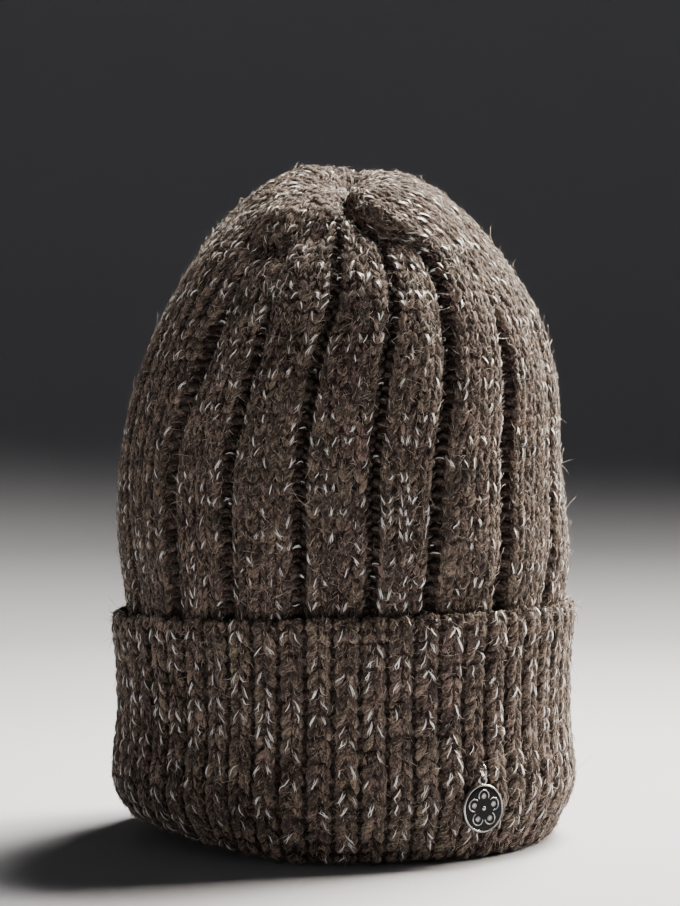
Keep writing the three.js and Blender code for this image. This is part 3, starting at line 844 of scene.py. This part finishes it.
def make_cuff_purls(skin, material):
    """A column of purl bumps in each of the cuff's gaps."""
    solids = []
    for _, gap in cuff_columns(skin):
        rows, half_span = cuff_rows(gap, CUFF_PURL_START, CUFF_PURL_SHARE)
        strands = purl_bumps(gap, rows, CUFF_ROW, half_span, CUFF_PURL_SIZE)
        solids.append(yarn_solid(above_ground(strands, CUFF_PURL_LEAST)))
    add_knit("cuff_purls", "cuff", material, solids)


# The rounded loop at the top of each cuff column: share of the half width,
# millimetres along from the edge, height, thickness
EDGE_LOOP = np.array([
    (-0.62, 10.6, -0.3, 0.0),
    (-0.80, 8.8, 0.5, 0.9),
    (-0.78, 6.7, 0.7, 1.0),
    (-0.50, 5.0, 0.8, 1.0),
    (0.0, 4.3, 0.9, 1.0),
    (0.50, 5.0, 0.8, 1.0),
    (0.78, 6.7, 0.7, 1.0),
    (0.80, 8.8, 0.5, 0.9),
    (0.62, 10.6, -0.3, 0.0),
])
EDGE_HALF_SHARE = 0.40
EDGE_SIZE = 1.35
EDGE_SIDES = 6
EDGE_THREADS = 0.85


def make_cuff_edge(skin, material):
    """A loop over the edge on each of the cuff's ribs; returns strands and chances."""
    reach, advance, height, thickness = EDGE_LOOP.T[:, None]
    solids, loops = [], []
    for column, _ in cuff_columns(skin):
        half = column.unit_width[0] * EDGE_HALF_SHARE
        across = reach * half * (1 + spread(0.06, 1))
        points, normals = column.at(advance + spread(0.45, 1), across)
        size = EDGE_SIZE * thickness * (1 + spread(0.1, 1))
        strands = (points + normals * height[..., None], normals, size, size * STRAND_FLATNESS)
        solids.append(yarn_solid(strands, EDGE_SIDES))
        loops.append((*strands, np.array([EDGE_THREADS])))
    add_knit("cuff_edge", "cuff", material, solids)
    return stacked(loops)


# Shiny threads run alone or in twos, a little over their strand
TWIN_CHANCE = 0.55
TWIN_GAP = 0.40
THREAD_RISE = 0.13
THREAD_SIDES = 3


def along_strands(values, which, share):
    """Values of strands between their places, at a share of the way along each."""
    place = share * (values.shape[1] - 1)
    below = np.clip(place.astype(int), 0, values.shape[1] - 2)
    part = place - below
    if values.ndim == 3:
        part = part[..., None]
    return values[which, below] * (1 - part) + values[which, below + 1] * part


def make_flecks(name, node, strands, material):
    """Shiny pale threads, single or in twos, that lie on some of the strands."""
    path, normals, half_width, half_depth, chance = strands
    chosen = np.flatnonzero(random.random(len(path)) < chance)
    count = len(chosen)
    side = random.uniform(-0.5, 0.5, count)
    middle = random.uniform(0.42, 0.58, count)
    length = random.uniform(0.36, 0.74, count)
    size = random.uniform(0.15, 0.28, count)
    tone = random.random(count)
    twin = random.random(count) < TWIN_CHANCE
    shift = TWIN_GAP / np.maximum(half_width[chosen].max(axis=1), 0.5)
    twin_side = side + np.where(side > 0, -shift, shift)
    ones = (chosen, side, middle, length, size, tone)
    twos = (chosen, twin_side, middle + 0.03, length * 0.85, size * 0.9, tone)
    chosen, side, middle, length, size, tone = (
        np.concatenate([one, two[twin]])[:, None] for one, two in zip(ones, twos))
    run = np.linspace(-0.5, 0.5, 5)[None]
    share = middle + run * length
    side = side + run * random.normal(0, 0.45, side.shape)
    side = np.clip(side + run ** 2 * random.normal(0, 2.2, side.shape), -0.9, 0.9)
    across = unit(np.cross(unit(np.gradient(path, axis=1)), normals))
    lines = (path, normals, across, half_width, half_depth)
    thread, normal, aside, wide, deep = (along_strands(line, chosen, share) for line in lines)
    outward = unit(normal)
    thread = thread + aside * (wide * side)[..., None]
    thread = thread + outward * (deep * np.sqrt(1 - side ** 2) + THREAD_RISE)[..., None]
    sizes = size * np.array([0, 0.8, 1.0, 0.8, 0])
    solid = spindles(thread, outward, sizes, sizes * 0.7, THREAD_SIDES, tone)
    add_knit(name, node, material, [solid])


def strand_spots(strands, count):
    """Random places on the outer side of the strands: point, outward, along, across."""
    path, normals, half_width, half_depth, _ = strands
    which = random.integers(0, len(path), count)
    place = random.integers(1, path.shape[1] - 1, count)
    normal = normals[which, place]
    tangent = unit(path[which, place] - path[which, place - 1])
    across = unit(np.cross(tangent, normal))
    side = random.uniform(-0.9, 0.9, count)
    tall = np.sqrt(1 - side ** 2)
    point = path[which, place] + across * (side * half_width[which, place])[:, None]
    point = point + normal * (tall * half_depth[which, place] * 0.85)[:, None]
    point = point + tangent * random.uniform(-0.8, 0.8, count)[:, None]
    outward = unit(normal * tall[:, None] + across * side[:, None])
    return point, outward, tangent, across


def make_fuzz(name, node, strands, material, count):
    """Short brushed fibres that lie over the yarn and stand a little off it."""
    base, outward, tangent, across = strand_spots(strands, count)
    length = 1.7 + 4.0 * random.random(count) ** 2
    swing = random.normal(0, 0.75, (count, 1))
    stand = (random.uniform(0.03, 0.6, count) / length)[:, None]
    back = random.choice([-1.0, 1.0], count)[:, None]
    heading = unit(tangent * back + across * swing + outward * stand)
    curl = unit(random.normal(0, 1, (count, 3)))
    half = (length * 0.5)[:, None]
    middle = base + heading * half
    tip = middle + unit(heading + curl * 0.55 - outward * 0.35) * half
    sizes = random.uniform(0.055, 0.125, (count, 1)) * np.array([0, 1, 0])
    path = np.stack([base, middle, tip], axis=1)
    normals = np.repeat(unit(np.cross(curl, unit(tip - base)))[:, None], 3, axis=1)
    solid = spindles(path, normals, sizes, sizes, THREAD_SIDES, random.random(count))
    add_knit(name, node, material, [solid[:3]])


def make_hairs(name, node, strands, material, count):
    """Long loose hairs that curve away from the knit."""
    base, outward, tangent, across = strand_spots(strands, count)
    length = 4.0 + 8.0 * random.random(count) ** 2
    turn = random.uniform(0, 2 * np.pi, (count, 1))
    stand = random.uniform(0.03, 0.20, (count, 1))
    heading = unit(tangent * np.cos(turn) + across * np.sin(turn) + outward * stand)
    bend = unit(random.normal(0, 1, (count, 3)) - outward * 0.6) / random.uniform(7, 20, (count, 1))
    share = np.linspace(0, 1, 5)[None, :, None] * length[:, None, None]
    path = base[:, None] + heading[:, None] * share + bend[:, None] * share ** 2 / 2
    sizes = random.uniform(0.035, 0.06, (count, 1)) * np.array([0, 1.0, 1.0, 0.8, 0])
    normals = np.repeat(unit(outward + 0.01)[:, None], 5, axis=1)
    solid = spindles(path, normals, sizes, sizes, THREAD_SIDES, random.random(count))
    add_knit(name, node, material, [solid])


class Finish:
    """A material, its shader, and the nodes that feed it."""

    def __init__(self, name, **values):
        self.material = bpy.data.materials.new(name)
        self.material.use_nodes = True
        self.tree = self.material.node_tree
        self.shader = self.tree.nodes["Principled BSDF"]
        self.feed(self.shader, values)

    def feed(self, node, values):
        """Sets named inputs to plain values, or links them to other nodes' outputs."""
        for name, value in values.items():
            socket = node.inputs[name.replace("_", " ")]
            if isinstance(value, bpy.types.NodeSocket):
                self.tree.links.new(value, socket)
            else:
                socket.default_value = value

    def node(self, kind, **values):
        """A new node with the given inputs."""
        node = self.tree.nodes.new("ShaderNode" + kind)
        self.feed(node, values)
        return node

    def math(self, operation, *values):
        """Output of a math node fed with outputs or plain numbers."""
        node = self.node("Math")
        node.operation = operation
        for socket, value in zip(node.inputs, values):
            if isinstance(value, (int, float)):
                socket.default_value = value
            else:
                self.tree.links.new(value, socket)
        return node.outputs[0]

    def total(self, start, *terms):
        """Start plus each value times its weight."""
        for value, weight in terms:
            start = self.math("MULTIPLY_ADD", value, weight, start)
        return start

    def noise(self, scale, detail, roughness=0.5, place=None):
        """A noise texture, over the piece's own coordinates by default."""
        place = place or self.node("TexCoord").outputs["Object"]
        node = self.node("TexNoise", Scale=scale, Detail=detail, Roughness=roughness, Vector=place)
        return node.outputs["Fac"]

    def tone(self):
        """The random tone of each strand."""
        node = self.node("Attribute")
        node.attribute_name = "tone"
        return node.outputs["Fac"]

    def colour_by(self, value, stops):
        """Base colour by a value, between stops that each have a place and a colour."""
        node = self.node("ValToRGB", Fac=value)
        elements = node.color_ramp.elements
        elements[0].position = stops[0][0]
        elements[1].position = stops[-1][0]
        for place, _ in stops[1:-1]:
            elements.new(place)
        for element, (_, colour) in zip(elements, stops):
            element.color = (*colour, 1)
        self.feed(self.shader, {"Base Color": node.outputs["Color"]})
        return node.outputs["Color"]

    def turn_hue(self, colours, value):
        """Turns the base colour a little towards mauve or olive from place to place."""
        hue = self.math("MULTIPLY_ADD", value, 0.12, 0.44)
        node = self.node("HueSaturation", Hue=hue, Color=colours)
        self.feed(self.shader, {"Base Color": node.outputs["Color"]})

    def roughness_by(self, value, low, high):
        """Roughness between two limits, by a value between about 0.3 and 0.7."""
        node = self.node("MapRange", Value=value, From_Min=0.3, From_Max=0.7, To_Min=low, To_Max=high)
        self.feed(self.shader, {"Roughness": node.outputs["Result"]})

    def bump_by(self, height, strength, distance):
        """Small relief by a height value."""
        node = self.node("Bump", Strength=strength, Distance=distance, Height=height)
        self.feed(self.shader, {"Normal": node.outputs["Normal"]})


def yarn_material(name, sheen, dark, middle, light):
    """Brushed melange yarn: fibres run along each strand, every strand its own tone."""
    finish = Finish(name, Roughness=0.9, Diffuse_Roughness=1.0, Specular_IOR_Level=0.15,
                    Sheen_Weight=sheen, Sheen_Roughness=0.5, Sheen_Tint=(0.86, 0.75, 0.64, 1))
    tone = finish.tone()
    strand = finish.node("UVMap")
    strand.uv_map = "strand"
    split = finish.node("SeparateXYZ", Vector=strand.outputs["UV"])
    x = finish.math("MULTIPLY", split.outputs["X"], 9.0)
    y = finish.math("MULTIPLY", split.outputs["Y"], 3.0)
    z = finish.math("MULTIPLY", tone, 61.0)
    place = finish.node("CombineXYZ", X=x, Y=y, Z=z).outputs["Vector"]
    fibres = finish.noise(1.0, 5.0, 0.75, place)
    patches = finish.noise(120.0, 2.0)
    blots = finish.noise(330.0, 2.0)
    specks = finish.noise(1500.0, 3.0, 0.7)
    shade = finish.total(-2.36, (fibres, 2.4), (specks, 1.7), (patches, 0.9), (blots, 0.6), (tone, 0.14))
    colours = finish.colour_by(shade, [(0.08, dark), (0.48, middle), (0.92, light)])
    finish.turn_hue(colours, finish.noise(75.0, 3.0))
    finish.bump_by(finish.math("ADD", fibres, specks), 0.9, 0.0006)
    return finish.material


PURLS_ROUND = 108


def purl_relief(finish):
    """Rows of rounded bumps round the hat's axis, every second row half a bump on."""
    place = finish.node("TexCoord").outputs["Object"]
    split = finish.node("SeparateXYZ", Vector=place)
    turn = finish.math("ARCTAN2", split.outputs["X"], split.outputs["Y"])
    row = finish.math("DIVIDE", split.outputs["Z"], CROWN_ROW * MM)
    shift = finish.math("MULTIPLY", finish.math("FLOOR", row), math.pi / 2)
    across = finish.math("MULTIPLY_ADD", turn, PURLS_ROUND / 2, shift)
    along = finish.math("MULTIPLY", row, math.pi)
    waves = [finish.math("SINE", phase) for phase in (across, along)]
    return finish.math("MULTIPLY", *(finish.math("ABSOLUTE", wave) for wave in waves))


def felt_material(name, dark, middle, light):
    """The matted back of the knit, with its purl rows, between and behind the stitches."""
    finish = Finish(name, Roughness=0.95, Specular_IOR_Level=0.1)
    specks = finish.noise(1300.0, 4.0, 0.7)
    patches = finish.noise(220.0, 2.0)
    purls = purl_relief(finish)
    # The purl term makes the felt darker between the purl bumps and lighter on their tops: painted shade
    # in the hollows. Specks and patches are the felt's own colour.
    shade = finish.total(-1.3, (specks, 2.2), (purls, 0.35), (patches, 1.0))
    finish.colour_by(shade, [(0.1, dark), (0.5, middle), (1.0, light)])
    finish.bump_by(finish.total(purls, (specks, 0.5)), 1.0, 0.0016)
    return finish.material


def toned_material(name, stops, **values):
    """A plain finish whose colour varies from strand to strand."""
    finish = Finish(name, **values)
    finish.colour_by(finish.tone(), stops)
    return finish.material


def silver_material():
    """Polished silver with faint wear, duller in patches."""
    finish = Finish("silver", Metallic=1.0)
    wear = finish.noise(420.0, 4.0, 0.6)
    finish.colour_by(wear, [(0.35, (0.21, 0.20, 0.19)), (0.65, (0.45, 0.44, 0.42))])
    finish.roughness_by(wear, 0.34, 0.15)
    finish.bump_by(finish.noise(5200.0, 3.0, 0.6), 0.25, 0.00003)
    return finish.material


def enamel_material():
    """Glossy near-black enamel, very slightly wavy and dusty."""
    finish = Finish("black_enamel", Specular_IOR_Level=0.10)
    dust = finish.noise(2600.0, 5.0, 0.7)
    finish.colour_by(dust, [(0.50, (0.003, 0.003, 0.0035)), (0.85, (0.012, 0.011, 0.011))])
    finish.roughness_by(dust, 0.14, 0.30)
    finish.bump_by(finish.noise(380.0, 2.0), 0.3, 0.00008)
    return finish.material


def crystal_material():
    """Clear cut crystal with faint inclusions."""
    finish = Finish("crystal", Transmission_Weight=0.55, IOR=1.75, Coat_Weight=0.6, Coat_Roughness=0.02)
    clouds = finish.noise(1900.0, 3.0)
    finish.colour_by(clouds, [(0.3, (0.80, 0.84, 0.88)), (0.7, (1.0, 1.0, 1.0))])
    finish.roughness_by(clouds, 0.02, 0.07)
    return finish.material


# Charm, in its own frame: x to the right, y up, z out of the cuff
CHARM_AZIMUTH = 32.8
CHARM_HEIGHT = 18.8
CHARM_DISTANCE = 83.7
DISC_RADIUS = 8.0
TRAY_RADIUS = 7.3
TRAY_FLOOR = 1.05
DISC_SIDES = 96
LUG_CENTRE = 9.3
LUG_DEPTH = 0.65
LUG_RADIUS = 1.42
LUG_WIRE = 0.46
RING_RADIUS = 2.7
RING_WIRE = 0.4
RING_CENTRE = 12.01
RING_DEPTH = -0.2
PETALS = 5
PETAL_DISTANCE = 4.1
PETAL_RADIUS = 2.0
PETAL_SPREAD = 240.0
PETAL_WIDTH = 0.24
PETAL_PLACES = 40
LINE_DEPTH = 1.40
BEAD_SIDES = 32
BEZEL_RADIUS = 0.80
BEZEL_WIRE = 0.15
STONE_FOOT = 0.87
STONE_SIDES = 8

# Angles from which edges stay sharp on metal and enamel, and on cut stones
SOFT_CREASE = 40
FACET_CREASE = 1

# Half sections of the turned parts: radius, depth
DISC_PROFILE = (
    (0.0, 0.0), (TRAY_RADIUS, 0.0), (7.72, 0.06), (7.93, 0.22), (DISC_RADIUS, 0.45),
    (DISC_RADIUS, TRAY_FLOOR), (7.93, 1.30), (7.76, 1.45), (7.62, 1.49), (7.46, 1.46),
    (7.34, 1.36), (TRAY_RADIUS, 1.22), (TRAY_RADIUS, TRAY_FLOOR), (0.0, TRAY_FLOOR),
)
ENAMEL_PROFILE = (
    (0.0, 1.07), (7.27, 1.07), (7.27, 1.24), (7.0, 1.31), (6.0, 1.37), (4.0, 1.42), (2.0, 1.44),
    (0.0, 1.45),
)
BEAD_PROFILE = (
    (0.0, 1.10), (0.78, 1.10), (0.78, 1.46), (0.70, 1.62), (0.54, 1.74), (0.30, 1.82), (0.0, 1.85),
)

# Cut of the stones: radius, height over the foot, half steps turned
STONE_CUT = (
    (0.0, 0.0, 0), (0.66, 0.40, 0), (0.68, 0.46, 0), (0.56, 0.62, 1), (0.38, 0.75, 2), (0.0, 0.75, 2),
)


def on_cuff(points):
    """Puts points of the charm's own frame on the hat."""
    turn = math.radians(CHARM_AZIMUTH)
    right = np.array([math.cos(turn), math.sin(turn), 0.0])
    out = np.array([math.sin(turn), -math.cos(turn), 0.0])
    centre = out * CHARM_DISTANCE + np.array([0.0, 0.0, CHARM_HEIGHT])
    frame_axes = np.stack([right, np.array([0.0, 0.0, 1.0]), out])
    return centre + points @ frame_axes


def add_to_charm(name, slot, node, material, solid, crease=None):
    """A piece of the charm, in its place on the cuff."""
    vertices, faces = solid
    add_piece(name, slot, node, material, on_cuff(vertices), faces, crease=crease)


def polar(radius, angle, depth):
    """Points at radii, angles to the right and depths in the charm's own frame."""
    return np.stack([radius * np.cos(angle), radius * np.sin(angle), depth + 0 * angle], axis=-1)


def turned(profile, sides, centre=0.0, half_steps=0):
    """Closed solid turned about the depth axis; its profile starts and ends on the axis."""
    radius, depth = np.array(profile).T[:, :, None]
    shift = np.broadcast_to(half_steps, len(profile))[:, None] / 2
    angle = (np.arange(sides) + shift) * 2 * np.pi / sides
    rings = polar(radius, angle, depth)
    body = rings[1:-1].reshape(-1, 3)
    vertices = np.concatenate([rings[0, :1], body, rings[-1, :1]]) + centre
    return vertices, capped_bands(len(profile) - 2, sides, forward=False)


def wire_ring(radius, wire, centre, upright=False, turns=64, sides=14):
    """A closed ring of round wire, in the plane of the disc or upright across it."""
    angle = np.arange(turns)[:, None] * 2 * np.pi / turns
    side = -np.arange(sides)[None] * 2 * np.pi / sides
    rings = polar(radius + wire * np.cos(side), angle, wire * np.sin(side))
    if upright:
        rings = rings[..., [2, 0, 1]]
    return ring_shell(rings + np.array(centre))


def petal_centres():
    """Centres of the petals on the disc, and the angles at which they lie."""
    angle = np.radians(90 + 360 * np.arange(PETALS) / PETALS)
    return polar(PETAL_DISTANCE, angle, 0.0), angle


def petal_lines():
    """The raised outline of each petal, round in section and at its ends."""
    centres, outward = petal_centres()
    half = math.radians(PETAL_SPREAD) / 2
    angle = outward[:, None] + np.linspace(-half, half, PETAL_PLACES)[None]
    path = centres[:, None] + polar(PETAL_RADIUS, angle, LINE_DEPTH)
    normals = np.broadcast_to(np.array([0.0, 0.0, 1.0]), path.shape)
    length = PETAL_RADIUS * 2 * half
    to_end = np.minimum(np.linspace(0, length, PETAL_PLACES), np.linspace(length, 0, PETAL_PLACES))
    share = np.clip(to_end / PETAL_WIDTH, 0, 1)
    width = np.broadcast_to(PETAL_WIDTH * np.sqrt(1 - (1 - share) ** 2), angle.shape)
    return spindles(path, normals, width, width, 12, np.zeros(PETALS))[:2]


def make_charm(silver, enamel, crystal):
    """The enamelled disc with its petals and stones, and the ring that it hangs from."""
    centres, _ = petal_centres()
    metal = [
        turned(DISC_PROFILE, DISC_SIDES),
        turned(BEAD_PROFILE, BEAD_SIDES),
        wire_ring(LUG_RADIUS, LUG_WIRE, (0.0, LUG_CENTRE, LUG_DEPTH), turns=48),
        petal_lines(),
    ]
    for centre in centres:
        metal.append(wire_ring(BEZEL_RADIUS, BEZEL_WIRE, centre + (0, 0, LINE_DEPTH), turns=28, sides=8))
    ring = wire_ring(RING_RADIUS, RING_WIRE, (0.0, RING_CENTRE, RING_DEPTH), upright=True)
    field = turned(ENAMEL_PROFILE, DISC_SIDES)
    add_to_charm("charm_plate", "charm_metal", "charm_disc", silver, joined(metal), SOFT_CREASE)
    add_to_charm("jump_ring", "charm_metal", "charm_ring", silver, ring)
    add_to_charm("enamel_field", "charm_enamel", "charm_enamel", enamel, field, SOFT_CREASE)
    radius, height, half_steps = np.array(STONE_CUT).T
    profile = np.stack([radius, STONE_FOOT + height], axis=1)
    for number, centre in enumerate(centres, start=1):
        stone = turned(profile, STONE_SIDES, centre, half_steps)
        add_to_charm(f"cut_stone_{number}", "charm_stone", f"charm_stone_{number}", crystal, stone,
                     FACET_CREASE)


def make_crown(yarn, shade_painted_groove_yarn, felt, pale, fibre):
    """The crown's wall, its ribs and grooves, and all that lies loose on them."""
    skin = crown_skin(sink=CROWN_SINK)
    make_crown_base(skin, felt)
    legs = make_crown_stitches(skin, yarn)
    # The purls take the darker yarn, whose colour is painted shade in the grooves.
    purls = make_crown_purls(skin, shade_painted_groove_yarn)
    make_flecks("crown_threads", "crown", legs, pale)
    make_flecks("groove_threads", "crown", purls, pale)
    make_fuzz("crown_fuzz_1", "crown", legs, fibre, 27500)
    make_fuzz("crown_fuzz_2", "crown", legs, fibre, 26500)
    make_hairs("crown_hairs", "crown", legs, fibre, 1900)


def make_cuff(yarn, shade_painted_groove_yarn, felt, pale, fibre):
    """The cuff's double band, its ribs, gaps and edge, and all that lies loose on them."""
    skin = cuff_skin(sink=CUFF_SINK)
    make_cuff_base(felt)
    legs = make_cuff_stitches(skin, yarn)
    # The purls take the darker yarn, whose colour is painted shade in the gaps.
    make_cuff_purls(skin, shade_painted_groove_yarn)
    edge = make_cuff_edge(skin, yarn)
    make_flecks("cuff_threads", "cuff", legs, pale)
    make_flecks("edge_threads", "cuff", edge, pale)
    make_fuzz("cuff_fuzz", "cuff", legs, fibre, 26500)
    make_hairs("cuff_hairs", "cuff", legs, fibre, 1000)


def make_hat():
    """The knitted hat and its charm, with their materials."""
    yarn = yarn_material(
        "taupe_yarn", 0.33, (0.0065, 0.0043, 0.0037), (0.055, 0.037, 0.031), (0.36, 0.262, 0.20))
    cuff_yarn = yarn_material(
        "cuff_yarn", 0.33, (0.0075, 0.0052, 0.0045), (0.060, 0.041, 0.034), (0.37, 0.272, 0.208))
    # The purl bumps in the crown's grooves and the cuff's gaps get a far darker yarn with little sheen:
    # painted shade in the grooves.
    shade_painted_groove_yarn = yarn_material(
        "shade_painted_groove_yarn", 0.08, (0.005, 0.0035, 0.003), (0.022, 0.015, 0.013), (0.11, 0.085, 0.07))
    felt = felt_material("matted_yarn", (0.010, 0.007, 0.006), (0.050, 0.034, 0.029), (0.26, 0.195, 0.16))
    pale_stops = [(0.0, (0.55, 0.52, 0.49)), (0.3, (0.90, 0.88, 0.86)), (1.0, (1.0, 1.0, 1.0))]
    pale = toned_material("shiny_thread", pale_stops, Roughness=0.30, IOR=2.0, Specular_IOR_Level=0.8)
    fibre_stops = [(0.0, (0.020, 0.014, 0.012)), (0.5, (0.115, 0.081, 0.067)), (1.0, (0.72, 0.60, 0.50))]
    fibre = toned_material("loose_fibre", fibre_stops, Roughness=0.55)
    make_crown(yarn, shade_painted_groove_yarn, felt, pale, fibre)
    make_cuff(cuff_yarn, shade_painted_groove_yarn, felt, pale, fibre)
    make_charm(silver_material(), enamel_material(), crystal_material())


# Camera of the photo: level, in front of the hat. Metres, and pixels of the frame
CAMERA_DISTANCE = 0.85
CAMERA_HEIGHT = 0.136
CAMERA_SIDE = -0.0013
FOCAL_PIXELS = 2361.0
FRAME_HEIGHT = 906
SENSOR = 36.0

# What the lights are aimed at, in metres
AIM = (0, 0, 0.12)

# The backdrop's floor, bend and wall in millimetres, its steps and its sides
FLOOR_RADIUS = 450
BEND_RADIUS = 1900
WALL_HEIGHT = 2000
BEND_STEPS = 12
BACKDROP_SIDES = 96


def make_camera():
    """The camera that sees the hat as the photo does."""
    data = bpy.data.cameras.new("camera")
    data.sensor_width = SENSOR
    data.lens = FOCAL_PIXELS * SENSOR / FRAME_HEIGHT
    camera = add_object("camera", data)
    camera.location = (CAMERA_SIDE, -CAMERA_DISTANCE, CAMERA_HEIGHT)
    camera.rotation_euler = (math.radians(90), 0, 0)
    bpy.context.scene.camera = camera


def add_light(name, location, size, power, colour, spread_angle=180):
    """An area light aimed at the hat."""
    data = bpy.data.lights.new(name, "AREA")
    data.size = size
    data.spread = math.radians(spread_angle)
    data.energy = power
    data.color = colour
    light = add_object(name, data)
    light.location = location
    way = Vector(AIM) - Vector(location)
    light.rotation_euler = way.to_track_quat("-Z", "Y").to_euler()


def make_backdrop():
    """Pale floor that curves up into a wall all round, like a studio bowl."""
    angle = np.linspace(0, np.pi / 2, BEND_STEPS + 1)
    radius = FLOOR_RADIUS + BEND_RADIUS * np.append(np.sin(angle), 1)[:, None]
    height = np.append(BEND_RADIUS * (1 - np.cos(angle)), BEND_RADIUS + WALL_HEIGHT)[:, None]
    rings = round_points(radius, np.arange(BACKDROP_SIDES) * 360 / BACKDROP_SIDES, height)
    vertices = np.concatenate([np.zeros((1, 3)), rings.reshape(-1, 3)])
    faces = capped_bands(len(rings), BACKDROP_SIDES)[:-BACKDROP_SIDES, ::-1]
    finish = Finish("pale_backdrop", Base_Color=(0.365, 0.375, 0.405, 1), Roughness=0.85)
    smooth_object("backdrop", finish.material, vertices, faces)


def make_studio():
    """Soft light from the right and from behind, with a little fill from the left."""
    world = bpy.data.worlds.new("studio")
    world.use_nodes = True
    background = world.node_tree.nodes["Background"]
    background.inputs["Color"].default_value = (0.54, 0.54, 0.57, 1)
    background.inputs["Strength"].default_value = 0.05
    bpy.context.scene.world = world
    add_light("key", (1.18, 0.58, 0.84), 0.55, 13.2, (1.0, 0.90, 0.77), 75)
    add_light("fill", (-0.55, -1.1, 0.45), 0.9, 0.20, (0.98, 0.96, 1.0))
    add_light("back", (0.46, 0.50, 1.10), 0.6, 30, (1.0, 0.94, 0.86), 90)


make_hat()
make_camera()
make_backdrop()
make_studio()
